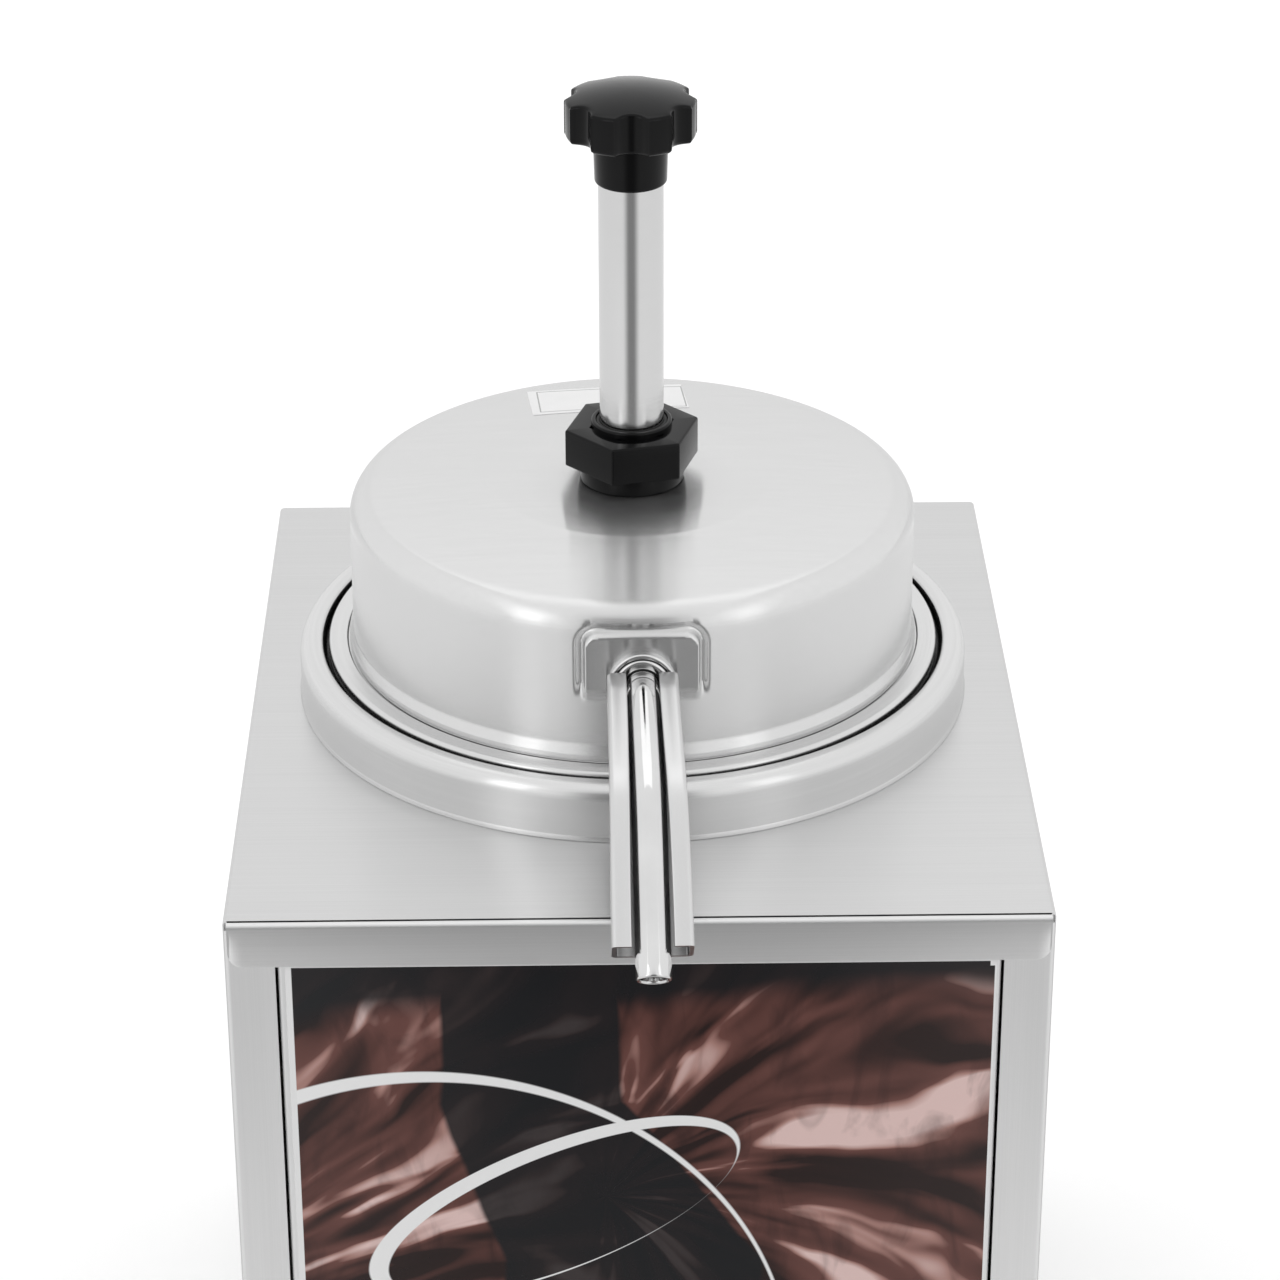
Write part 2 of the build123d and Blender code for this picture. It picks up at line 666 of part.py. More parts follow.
with BuildPart() as spout_nut:
    with BuildSketch(facing_spout(nut_back)):
        Circle(fitting_r)
        Circle(sleeve_r + 0.35, mode=Mode.SUBTRACT)
    extrude(amount=nut_face - nut_back)
    chamfer(spout_nut.edges().filter_by(GeomType.CIRCLE).group_by(Axis.Y)[0].sort_by(SortBy.LENGTH)[-1], 0.6)
save(spout_nut.part, "spout_nut")
sleeve_l = nut_face + 0.7 - sleeve_back
save(ring_on(facing_spout(sleeve_back), sleeve_r, spout_r + 0.3, sleeve_l), "spout_sleeve")
with BuildPart() as spout_seals:
    add(ring_on(facing_spout(nut_back), sleeve_r + 0.3, sleeve_r + 0.02, 2.8))
    add(ring_on(facing_spout(nut_back + 0.6), spout_r + 0.28, spout_r + 0.02, 2.8))
save(spout_seals.part, "spout_seals")
with BuildPart() as spout_backnut:
    with BuildSketch(facing_spout(lid_r - pot_sheet - 1.0)):
        RegularPolygon(radius=11.0, side_count=6, major_radius=False)
        Circle(sleeve_r + 0.02, mode=Mode.SUBTRACT)
    extrude(amount=-4.0)
save(spout_backnut.part, "spout_backnut")

# ---------------------------------------------------------------- plunger
piston_foot = piston_top - piston_h
seal_w = 2.2
with BuildPart() as piston:
    with BuildSketch(level(piston_foot)):
        Circle(cylinder_bore - running)
    extrude(amount=piston_h)
    with BuildSketch(level(piston_foot + 6)):
        Circle(20)
        Circle(cylinder_bore - seal_w, mode=Mode.SUBTRACT)
    extrude(amount=3.4, mode=Mode.SUBTRACT)
    with BuildSketch(level(piston_foot + 4)):
        Circle(tube_r)
    extrude(amount=piston_h, mode=Mode.SUBTRACT)
save(piston.part, "piston")

save(ring(cylinder_bore - 0.03, cylinder_bore - seal_w, piston_foot + 6.1, 3.2), "piston_seal")

socket_depth = 8.0
stud_r = 4.0
save(ring(tube_r, tube_r - tube_wall, piston_foot + 4, knob_z + socket_depth - piston_foot - 4),
     "plunger_tube")

with BuildPart() as knob_stud:
    with BuildSketch(level(knob_z - 8)):
        Circle(tube_r - tube_wall)
    extrude(amount=8 + socket_depth)
    with BuildSketch(level(knob_z + socket_depth)):
        Circle(stud_r)
    extrude(amount=12.0)
save(knob_stud.part, "knob_stud")

star_z = knob_z + knob_hub_h
star_top = star_z + knob_star_h
crown = 2.5                                  # the knob's top is domed by this much
rim = 1.8
valley_r = 5.4                               # the valleys between the lobes
hub_r = 10.4
with BuildPart() as star_knob:
    with BuildSketch(level(star_z)) as star:
        Circle(knob_r)
        with PolarLocations(knob_r + 2.6, knob_lobes, start_angle=90 + 180 / knob_lobes):
            Circle(valley_r, mode=Mode.SUBTRACT)
        fillet(star.vertices(), 2.2)
    extrude(amount=knob_star_h + crown)
    with BuildSketch(well_plane):
        with BuildLine():
            Polyline((0, star_z), (knob_r - rim, star_z), (knob_r, star_z + rim), (knob_r, star_top - rim))
            ThreePointArc((knob_r, star_top - rim), (knob_r - 0.3 * rim, star_top - 0.3 * rim),
                          (knob_r - rim, star_top))
            ThreePointArc((knob_r - rim, star_top), (knob_r / 2, star_top + 0.75 * crown),
                          (0, star_top + crown))
            Line((0, star_top + crown), (0, star_z))
        make_face()
    revolve(axis=well_axis, mode=Mode.INTERSECT)
    with BuildSketch(level(knob_z)):
        Circle(hub_r)
    extrude(amount=knob_hub_h + 1.0, taper=-4)
    with BuildSketch(level(knob_z)):
        Circle(tube_r)
    extrude(amount=socket_depth, mode=Mode.SUBTRACT)
    with BuildSketch(level(knob_z)):
        Circle(stud_r)
    extrude(amount=socket_depth + 12.0, mode=Mode.SUBTRACT)
save(star_knob.part, "star_knob")

# ---------------------------------------------------------------- return spring
washer_t = 1.5
spring_low = spigot_top
spring_high = piston_foot - washer_t
wire_r = 0.8
spring_coils = 9
coil_r = 12.2
coil_h = spring_high - spring_low - 2 * wire_r
save(ring(13.6, 7.0, spring_high, washer_t), "spring_washer")
with BuildPart() as return_spring:
    with BuildLine(level(spring_low + wire_r)) as coil:
        Helix(pitch=coil_h / spring_coils, height=coil_h, radius=coil_r)
    with BuildSketch(Plane(origin=coil.line @ 0, z_dir=coil.line % 0)):
        Circle(wire_r)
    sweep(path=coil.line, is_frenet=True)
save(return_spring.part, "return_spring")

# ---------------------------------------------------------------- controls on the right side wall
shaft_r = 3.0
thermostat_depth = 26.0
with BuildPart() as thermostat_body:
    with BuildSketch(facing_right(wall_x - thermostat_depth, knob_y, control_z)):
        RectangleRounded(34, 40, 2)
    extrude(amount=thermostat_depth)
    with BuildSketch(facing_right(wall_x, knob_y, control_z)):
        Circle(5.0)
    extrude(amount=2.0)
    with BuildSketch(facing_right(wall_x - 18, knob_y, control_z)):
        Circle(shaft_r + running)
    extrude(amount=24, mode=Mode.SUBTRACT)
save(thermostat_body.part, "thermostat_body")

with BuildPart() as thermostat_shaft:
    with BuildSketch(facing_right(wall_x - 17.5, knob_y, control_z)):
        Circle(shaft_r)
    extrude(amount=17.5 + 14)
save(thermostat_shaft.part, "thermostat_shaft")

dial_t = 0.6
dial_r = 29.0
with BuildPart() as dial_plate:
    with BuildSketch(facing_right(half_w, knob_y, control_z)):
        Circle(dial_r)
        Circle(5.6, mode=Mode.SUBTRACT)
    extrude(amount=dial_t)
save(dial_plate.part, "dial_plate")

knob_back = half_w + dial_t + 1.0
knob_skirt_r = 19.0
knob_grip = (35.0, 11.0)
knob_reach = 17.0
with BuildPart() as thermostat_knob:
    with BuildSketch(facing_right(knob_back, knob_y, control_z)):
        Circle(knob_skirt_r)
    extrude(amount=3.0)
    fillet(thermostat_knob.edges().group_by(Axis.X)[-1], 1.0)
    with BuildSketch(facing_right(knob_back, knob_y, control_z)):
        SlotOverall(*knob_grip, rotation=90)
    extrude(amount=knob_reach)
    fillet(thermostat_knob.edges().group_by(Axis.X)[-1], 1.5)
    with BuildSketch(facing_right(knob_back, knob_y, control_z)):
        Circle(shaft_r)
    extrude(amount=14 + wall_x - knob_back, mode=Mode.SUBTRACT)
save(thermostat_knob.part, "thermostat_knob")

with BuildPart() as knob_pointer:
    with BuildSketch(facing_right(knob_back + knob_reach, knob_y, control_z + 9.5)):
        Rectangle(1.4, 9.0)
    extrude(amount=0.3)
save(knob_pointer.part, "knob_pointer")

with BuildPart() as indicator_lamp:
    with BuildSketch(facing_right(half_w, lamp_y, control_z)):
        Circle(6.2)
    extrude(amount=1.4)
    with BuildSketch(facing_right(half_w + 1.4, lamp_y, control_z)):
        Circle(4.6)
    extrude(amount=2.8)
    fillet(indicator_lamp.edges().group_by(Axis.X)[-1], 2.0)
    with BuildSketch(facing_right(half_w, lamp_y, control_z)):
        Circle(4.6)
    extrude(amount=-22)
save(indicator_lamp.part, "indicator_lamp")

rocker_axis_x = half_w - 1.0
with BuildPart() as rocker_housing:
    with BuildSketch(facing_right(half_w, rocker_y, control_z)):
        RectangleRounded(15.4, 21.4, 1.0)
    extrude(amount=1.8)
    with BuildSketch(facing_right(half_w, rocker_y, control_z)):
        Rectangle(rocker_cut[0] - 0.3, rocker_cut[1] - 0.3)
    extrude(amount=-20)
    with BuildSketch(facing_right(half_w - 8, rocker_y, control_z)):
        Rectangle(10.4, 17.2)
    extrude(amount=12, mode=Mode.SUBTRACT)
save(rocker_housing.part, "rocker_housing")

rocker_w = 9.8
rocker_side = facing_front(rocker_y + rocker_w / 2, rocker_axis_x, control_z)
with BuildPart() as rocker:
    with BuildSketch(rocker_side):
        with BuildLine():
            Polyline((-1.5, -2.5), (1.0, -7.6), (4.6, -7.6), (2.6, 0), (2.6, 7.6), (0.4, 7.6), (-1.5, 2.5),
                     close=True)
        make_face()
    extrude(amount=rocker_w)
save(rocker.part, "rocker")

# ---------------------------------------------------------------- power socket, terminals and wires
socket_y = back - sheet
socket_back = 24.0
recess_depth = 14.0
pin_places = ((-7, -2), (7, -2), (0, 2))
with BuildPart() as power_socket:
    with BuildSketch(facing_back(socket_y, 0, socket_z)):
        RectangleRounded(50, 23, 5)
    extrude(amount=3.0)
    with BuildSketch(facing_back(socket_y, 0, socket_z)):
        RectangleRounded(socket_cut[0] - 0.4, socket_cut[1] - 0.4, 3)
    extrude(amount=-socket_back)
    with BuildSketch(facing_back(socket_y - recess_depth, 0, socket_z)):
        RectangleRounded(24.0, 16.2, 2.5)
    extrude(amount=20, mode=Mode.SUBTRACT)
    with BuildSketch(facing_back(socket_y - recess_depth, 0, socket_z)):
        with Locations(*pin_places):
            Rectangle(2.04, 4.04)
    extrude(amount=-20, mode=Mode.SUBTRACT)
    for side in (-1, 1):
        with BuildSketch(facing_back(socket_y - 1, side * socket_screw_x, socket_z)):
            Circle(1.7)
        extrude(amount=6, mode=Mode.SUBTRACT)
save(power_socket.part, "power_socket")

pin_back = socket_y - socket_back - 8
with BuildPart() as socket_pins:
    with BuildSketch(facing_back(pin_back, 0, socket_z)):
        with Locations(*pin_places):
            Rectangle(2.0, 4.0)
    extrude(amount=socket_y - 1.5 - pin_back)
save(socket_pins.part, "socket_pins")

socket_seats = [facing_back(socket_y + 3.0, s * socket_screw_x, socket_z) for s in (-1, 1)]
save(screws(socket_seats, 2.7, 1.8, 1.5, 8.0), "socket_screws")

block_x, block_y = -62.0, 96.0
block_z = foot_h + sheet
pole_pitch = 13.0
with BuildPart() as terminal_block:
    with BuildSketch(table(block_z, x=block_x, y=block_y)):
        Rectangle(40, 20)
    extrude(amount=8)
    with BuildSketch(table(block_z + 8, x=block_x, y=block_y)):
        with GridLocations(pole_pitch, 1, 3, 1):
            Rectangle(10, 16)
    extrude(amount=8)
    with BuildSketch(table(block_z + 9, x=block_x, y=block_y)):
        with GridLocations(pole_pitch, 1, 3, 1):
            Circle(2.5)
    extrude(amount=8, mode=Mode.SUBTRACT)
save(terminal_block.part, "terminal_block")

# Leads: socket to terminals, terminals to heater, socket to rocker, and heater to thermostat.
lead_r = 1.3
leg_y = well_y + leg_end + 8.0
leg_z = deck_z + element_z
with BuildPart() as internal_leads:
    add(pipe([(-7, pin_back, socket_z), (-7, pin_back - 14, socket_z), (-bend_r - 5, 98, block_z + 30),
              (block_x, block_y, block_z + 24), (block_x, block_y, block_z + 16)],
             [6, 12, 4], lead_r))
    add(pipe([(block_x - pole_pitch, block_y, block_z + 16),
              (block_x - pole_pitch, block_y, block_z + 26), (-60, 92, leg_z - 10),
              (-bend_r, leg_y + 9, leg_z), (-bend_r, leg_y, leg_z)],
             [5, 10, 4], lead_r))
    add(pipe([(7, pin_back, socket_z), (7, pin_back - 12, socket_z), (70, 88, control_z - 26),
              (84, rocker_y + 30, control_z - 4), (84, rocker_y, control_z),
              (half_w - 20, rocker_y, control_z)],
             [5, 24, 14, 5], lead_r))
    add(pipe([(bend_r, leg_y, leg_z), (bend_r, leg_y + 8, leg_z), (72, knob_y + 22, control_z - 6),
              (74, knob_y, control_z), (wall_x - thermostat_depth, knob_y, control_z)],
             [4, 14, 5], lead_r))
save(internal_leads.part, "internal_leads")

bulb_r = 2.5
bulb_z = deck_z + pan_under - plate_t - bulb_r - 0.1
bulb_place = Plane(origin=(-30, well_y - 14, bulb_z), x_dir=(0, 1, 0), z_dir=(1, 0, 0))
with BuildPart() as sensor_bulb:
    with BuildSketch(bulb_place):
        Circle(bulb_r)
    extrude(amount=60)
save(sensor_bulb.part, "sensor_bulb")
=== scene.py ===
from math import acos, atan2, cos, hypot, pi, radians, sin, sqrt, tan

import bmesh
import bpy
from mathutils import Matrix, Vector


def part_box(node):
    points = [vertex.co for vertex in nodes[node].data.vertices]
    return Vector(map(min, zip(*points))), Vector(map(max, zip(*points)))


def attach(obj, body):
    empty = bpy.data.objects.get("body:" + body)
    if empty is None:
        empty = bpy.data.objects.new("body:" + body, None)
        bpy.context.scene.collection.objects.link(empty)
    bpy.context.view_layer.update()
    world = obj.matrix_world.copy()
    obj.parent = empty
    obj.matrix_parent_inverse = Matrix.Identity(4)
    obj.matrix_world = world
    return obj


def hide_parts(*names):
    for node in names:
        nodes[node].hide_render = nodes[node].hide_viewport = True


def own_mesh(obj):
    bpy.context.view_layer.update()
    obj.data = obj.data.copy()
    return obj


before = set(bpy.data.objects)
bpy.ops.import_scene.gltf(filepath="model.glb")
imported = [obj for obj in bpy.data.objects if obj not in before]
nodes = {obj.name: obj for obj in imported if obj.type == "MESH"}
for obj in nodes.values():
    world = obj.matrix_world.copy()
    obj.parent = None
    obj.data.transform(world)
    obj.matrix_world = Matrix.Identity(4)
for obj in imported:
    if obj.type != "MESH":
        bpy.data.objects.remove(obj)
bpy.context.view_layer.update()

MM = 0.001

# ---------------------------------------------------------------- places read from the frame
# Outlines below are in millimetres. Heights of the pump, lid, pot and well are measured from the deck.
casing_low, casing_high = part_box("casing")
pan_low, pan_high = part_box("well_pan")
DECK = casing_high.z
AXIS = Vector(((pan_low.x + pan_high.x) / 2, (pan_low.y + pan_high.y) / 2, DECK))
HALF_W = casing_high.x / MM
FRONT, BACK = casing_low.y / MM, casing_high.y / MM
DECK_Z = DECK / MM
FOOT_H = casing_low.z / MM
SPOUT_TURN = radians(1.1)                # the lid's rest position on the pot
FORWARD = Vector((sin(SPOUT_TURN), -cos(SPOUT_TURN), 0))
ACROSS = Vector((cos(SPOUT_TURN), sin(SPOUT_TURN), 0))
UP = Vector((0, 0, 1))
SHEET, POT_SHEET = 1.0, 0.8


def place(origin, x_axis, z_axis):
    """A frame with its origin in millimetres: pieces are drawn in its x and y, and rise along its z."""
    x, z = Vector(x_axis), Vector(z_axis)
    made = Matrix((x, z.cross(x), z)).transposed().to_4x4()
    made.translation = Vector(origin) * MM
    return made


PUMP = place(AXIS / MM, ACROSS, UP)
PLUNGER = place(AXIS / MM, (1, 0, 0), UP)


def facing_right(y, z, x=HALF_W):
    return place((x, y, z), (0, 1, 0), (1, 0, 0))


def level(z, x=0.0, y=0.0):
    return place((x, y, z), (1, 0, 0), (0, 0, 1))


# ---------------------------------------------------------------- outlines
def turn_by(point, angle):
    """A point turned about the origin."""
    return Vector((point.x * cos(angle) - point.y * sin(angle), point.x * sin(angle) + point.y * cos(angle)))


def corner_arc(before, corner, after, radius, steps):
    """Points of a round corner between the runs before-corner and corner-after."""
    u, v = (before - corner).normalized(), (after - corner).normalized()
    half = acos(max(-1.0, min(1.0, u.dot(v)))) / 2
    reach = radius / tan(half)
    centre = corner + (u + v).normalized() * (radius / sin(half))
    start, end = corner + u * reach - centre, corner + v * reach - centre
    first = atan2(start.y, start.x)
    sweep = (atan2(end.y, end.x) - first + pi) % (2 * pi) - pi
    return [centre + radius * Vector((cos(first + sweep * i / steps), sin(first + sweep * i / steps)))
            for i in range(steps + 1)]


def rounded(points, radii, steps=6, closed=True):
    """An outline with round corners. radii is one number, or one for each point."""
    corners = [Vector(p) for p in points]
    if not hasattr(radii, "__len__"):
        radii = [radii] * len(corners)
    if not closed:
        radii = [0, *radii, 0]
    made = []
    for i, (corner, radius) in enumerate(zip(corners, radii)):
        if radius:
            made += corner_arc(corners[i - 1], corner, corners[(i + 1) % len(corners)], radius, steps)
        else:
            made.append(corner)
    return made


def dense(path, step):
    """The same open path with points at most step apart."""
    made = [path[0]]
    for a, b in zip(path, path[1:]):
        parts = max(1, round((b - a).length / step))
        made += [a.lerp(b, i / parts) for i in range(1, parts + 1)]
    return made


def sheet_section(path, thickness, side=1):
    """A closed section of bent sheet: an open path, its offset to the left (side 1) or to the right
    (side -1), and round ends."""
    normals = []
    for i, point in enumerate(path):
        runs = []
        if i:
            runs.append(point - path[i - 1])
        if i + 1 < len(path):
            runs.append(path[i + 1] - point)
        units = [Vector((-run.y, run.x)).normalized() for run in runs]
        mean = sum(units, Vector((0, 0))).normalized()
        normals.append(mean / max(0.5, mean.dot(units[0])))
    other = [p + n * side * thickness for p, n in zip(path, normals)]

    def end(a, b):
        centre, arm = (a + b) / 2, (a - b) / 2
        turn = Vector((arm.y, -arm.x)) * side
        return [centre + arm * cos(t) + turn * -sin(t) for t in (pi / 4, pi / 2, 3 * pi / 4)]

    return path + end(path[-1], other[-1]) + other[::-1] + end(other[0], path[0])


def circle(radius, steps):
    return [radius * Vector((cos(2 * pi * i / steps), sin(2 * pi * i / steps))) for i in range(steps)]


def box_outline(width, height, radius, x=0.0, y=0.0, steps=5):
    w, h = width / 2, height / 2
    corners = [(x - w, y - h), (x + w, y - h), (x + w, y + h), (x - w, y + h)]
    return rounded(corners, radius, steps)


# ---------------------------------------------------------------- meshes
def finish_mesh(name, vertices, faces, sharp=35.0):
    """A clean mesh, smooth but for the edges that turn by more than sharp degrees."""
    mesh = bpy.data.meshes.new(name)
    mesh.from_pydata([tuple(v) for v in vertices], [], faces)
    clean(mesh)
    shade(mesh, sharp)
    return mesh


def clean(mesh):
    bm = bmesh.new()
    bm.from_mesh(mesh)
    bmesh.ops.remove_doubles(bm, verts=bm.verts, dist=1e-6)
    bmesh.ops.dissolve_degenerate(bm, dist=1e-7, edges=bm.edges)
    bmesh.ops.recalc_face_normals(bm, faces=bm.faces)
    bm.to_mesh(mesh)
    bm.free()


def shade(mesh, sharp):
    mesh.shade_smooth()
    mesh.set_sharp_from_angle(angle=radians(sharp))


def loft(name, rings, wrap=False, sharp=35.0):
    """Skins rings of equally many points. wrap joins the last ring to the first; else both ends are
    closed."""
    count = len(rings[0])
    faces = []
    for i in range(len(rings) if wrap else len(rings) - 1):
        j = (i + 1) % len(rings)
        faces += [(i * count + k, i * count + (k + 1) % count, j * count + (k + 1) % count, j * count + k)
                  for k in range(count)]
    if not wrap:
        faces += [tuple(range(count)), tuple((len(rings) - 1) * count + k for k in range(count))]
    return finish_mesh(name, [v for ring in rings for v in ring], faces, sharp)


def turned(name, section, where, steps=160, angles=None, shift=None):
    """Turns a closed section (radius, height) round the z axis of a place. Angle 0 points along its -y."""
    angles = angles or [2 * pi * i / steps for i in range(steps)]
    rings = []
    for a in angles:
        moved = [shift(r, h, a) if shift else (r, h) for r, h in section]
        rings.append([where @ (Vector((r * sin(a), -r * cos(a), h)) * MM) for r, h in moved])
    return loft(name, rings, wrap=True)


def stack(name, layers, where):
    """Skins flat outlines of equally many points, each given as (outline, height)."""
    return loft(name, [[where @ (Vector((p[0], p[1], h)) * MM) for p in outline] for outline, h in layers])


def plate(name, outline, where, thickness, bevel):
    """A flat plate with soft edges, from h 0 to thickness."""
    curve = bpy.data.curves.new(name, "CURVE")
    curve.dimensions = "2D"
    curve.fill_mode = "BOTH"
    curve.extrude = (thickness / 2 - bevel) * MM
    curve.bevel_depth = bevel * MM
    curve.bevel_resolution = 2
    curve.offset = -bevel * MM
    spline = curve.splines.new("POLY")
    spline.points.add(len(outline) - 1)
    for point, p in zip(spline.points, outline):
        point.co = (p[0] * MM, p[1] * MM, 0, 1)
    spline.use_cyclic_u = True
    carrier = bpy.data.objects.new(name, curve)
    mesh = bpy.data.meshes.new_from_object(carrier)
    bpy.data.objects.remove(carrier)
    mesh.transform(where @ Matrix.Translation((0, 0, thickness / 2 * MM)))
    clean(mesh)
    shade(mesh, 35)
    return mesh


def block(name, where, low, high):
    """A plain box, only used to cut with."""
    corners = [(low[0], low[1]), (high[0], low[1]), (high[0], high[1]), (low[0], high[1])]
    return stack(name, [(corners, low[2]), (corners, high[2])], where)


def drill(name, radius, depth, where, steps=32):
    """A round bar through the face of a place, only used to cut with."""
    return stack(name, [(circle(radius, steps), -depth), (circle(radius, steps), depth)], where)


def linked(name, data):
    """A new object in the scene."""
    obj = bpy.data.objects.new(name, data)
    bpy.context.scene.collection.objects.link(obj)
    return obj


def evaluated(*objects):
    """The mesh of the first object with its modifiers applied. All the objects are then removed."""
    graph = bpy.context.evaluated_depsgraph_get()
    made = bpy.data.meshes.new_from_object(objects[0].evaluated_get(graph))
    for obj in objects:
        bpy.data.objects.remove(obj)
    return made


def cut(mesh, cutters):
    """The mesh with some solids cut out of it."""
    carrier = linked(mesh.name, mesh)
    tools = [linked("cutter", cutter) for cutter in cutters]
    for tool in tools:
        modifier = carrier.modifiers.new("cut", "BOOLEAN")
        modifier.operation = "DIFFERENCE"
        modifier.solver = "EXACT"
        modifier.object = tool
    return evaluated(carrier, *tools)


def joined(name, *meshes):
    """One mesh of several closed shells."""
    bm = bmesh.new()
    for mesh in meshes:
        bm.from_mesh(mesh)
    made = bpy.data.meshes.new(name)
    bm.to_mesh(made)
    bm.free()
    shade(made, 35)
    return made


def piece(name, mesh, material, body, slot, *replaced):
    """A finished piece that rides on a body and stands for some CAD nodes."""
    obj = linked(name, mesh)
    mesh.materials.clear()
    mesh.materials.append(material)
    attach(obj, body)
    if replaced:
        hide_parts(*replaced)
    return obj


def paint(name, material):
    """Gives a carried-over CAD node its material."""
    mesh = nodes[name].data
    mesh.materials.clear()
    mesh.materials.append(material)
    for polygon in mesh.polygons:
        polygon.material_index = 0


# ---------------------------------------------------------------- material helpers
class Nodes:
    """Shader nodes under construction."""

    def __init__(self, tree):
        self.tree = tree

    def node(self, kind, **settings):
        made = self.tree.nodes.new("ShaderNode" + kind)
        for key, value in settings.items():
            setattr(made, key, value)
        return made

    def link(self, a, b):
        self.tree.links.new(a, b)

    def feed(self, socket, value):
        if isinstance(value, (int, float)):
            socket.default_value = value
        elif isinstance(value, tuple):
            socket.default_value = (*value, 1) if len(socket.default_value) == 4 else value
        else:
            self.link(value, socket)

    def coords(self, scale=(1, 1, 1), turn=(0, 0, 0), at=(0, 0, 0)):
        """Object coordinates, scaled, turned and moved."""
        mapping = self.node("Mapping")
        self.feed(mapping.inputs["Location"], at)
        self.feed(mapping.inputs["Rotation"], turn)
        self.feed(mapping.inputs["Scale"], scale)
        self.link(self.node("TexCoord").outputs["Object"], mapping.inputs["Vector"])
        return mapping.outputs["Vector"]

    def split(self, vector):
        made = self.node("SeparateXYZ")
        self.link(vector, made.inputs[0])
        return made.outputs[0], made.outputs[1], made.outputs[2]

    def vector(self, x, y, z):
        made = self.node("CombineXYZ")
        for socket, value in zip(made.inputs, (x, y, z)):
            self.feed(socket, value)
        return made.outputs[0]

    def noise(self, vector, detail=3.0, roughness=0.5, distortion=0.0):
        made = self.node("TexNoise")
        for socket, value in (("Scale", 1.0), ("Detail", detail), ("Roughness", roughness),
                              ("Distortion", distortion)):
            made.inputs[socket].default_value = value
        self.link(vector, made.inputs["Vector"])
        return made.outputs["Fac"]

    def range(self, value, low, high, to_low=0.0, to_high=1.0, smooth=False):
        made = self.node("MapRange", interpolation_type="SMOOTHSTEP" if smooth else "LINEAR")
        for socket, v in zip(("From Min", "From Max", "To Min", "To Max"), (low, high, to_low, to_high)):
            made.inputs[socket].default_value = v
        self.link(value, made.inputs["Value"])
        return made.outputs["Result"]

    def ramp(self, value, stops):
        made = self.node("ValToRGB")
        ramp = made.color_ramp
        while len(ramp.elements) < len(stops):
            ramp.elements.new(0.5)
        for element, (position, colour) in zip(ramp.elements, stops):
            element.position = position
            element.color = (*colour, 1)
        self.link(value, made.inputs["Fac"])
        return made.outputs["Color"]

    def math(self, operation, a, b=None):
        made = self.node("Math", operation=operation)
        self.feed(made.inputs[0], a)
        if b is not None:
            self.feed(made.inputs[1], b)
        return made.outputs[0]

    def add(self, *values):
        total = values[0]
        for value in values[1:]:
            total = self.math("ADD", total, value)
        return total

    def times(self, *values):
        total = values[0]
        for value in values[1:]:
            total = self.math("MULTIPLY", total, value)
        return total

    def minus(self, a, b):
        return self.math("SUBTRACT", a, b)

    def mix(self, fac, a, b):
        made = self.node("Mix", data_type="RGBA")
        for socket, value in ((made.inputs[0], fac), (made.inputs[6], a), (made.inputs[7], b)):
            self.feed(socket, value)
        return made.outputs[2]

    def grey(self, value):
        made = self.node("CombineColor")
        for socket in made.inputs[:3]:
            self.link(value, socket)
        return made.outputs[0]

    def scaled(self, vector, scale):
        made = self.node("Mapping")
        self.feed(made.inputs["Scale"], scale)
        self.link(vector, made.inputs["Vector"])
        return made.outputs["Vector"]


class Shader(Nodes):
    """A material under construction."""

    def __init__(self, name):
        self.material = bpy.data.materials.new(name)
        self.material.use_nodes = True
        super().__init__(self.material.node_tree)
        self.tree.nodes.clear()
        self.bsdf = self.node("BsdfPrincipled")
        self.link(self.bsdf.outputs[0], self.node("OutputMaterial").inputs["Surface"])

    def set(self, **values):
        """Sets or links inputs of the surface, named with _ for a space."""
        for key, value in values.items():
            self.feed(self.bsdf.inputs[key.replace("_", " ")], value)

    def bump(self, height, strength, distance):
        made = self.node("Bump")
        made.inputs["Strength"].default_value = strength
        made.inputs["Distance"].default_value = distance
        self.link(height, made.inputs["Height"])
        self.link(made.outputs["Normal"], self.bsdf.inputs["Normal"])


HAIR = {"x": (16, 2600, 2600), "z": (2600, 2600, 16)}      # fine scratches: noise cells per metre
BAND = {"x": (5, 620, 620), "z": (620, 620, 5)}            # broader streaks


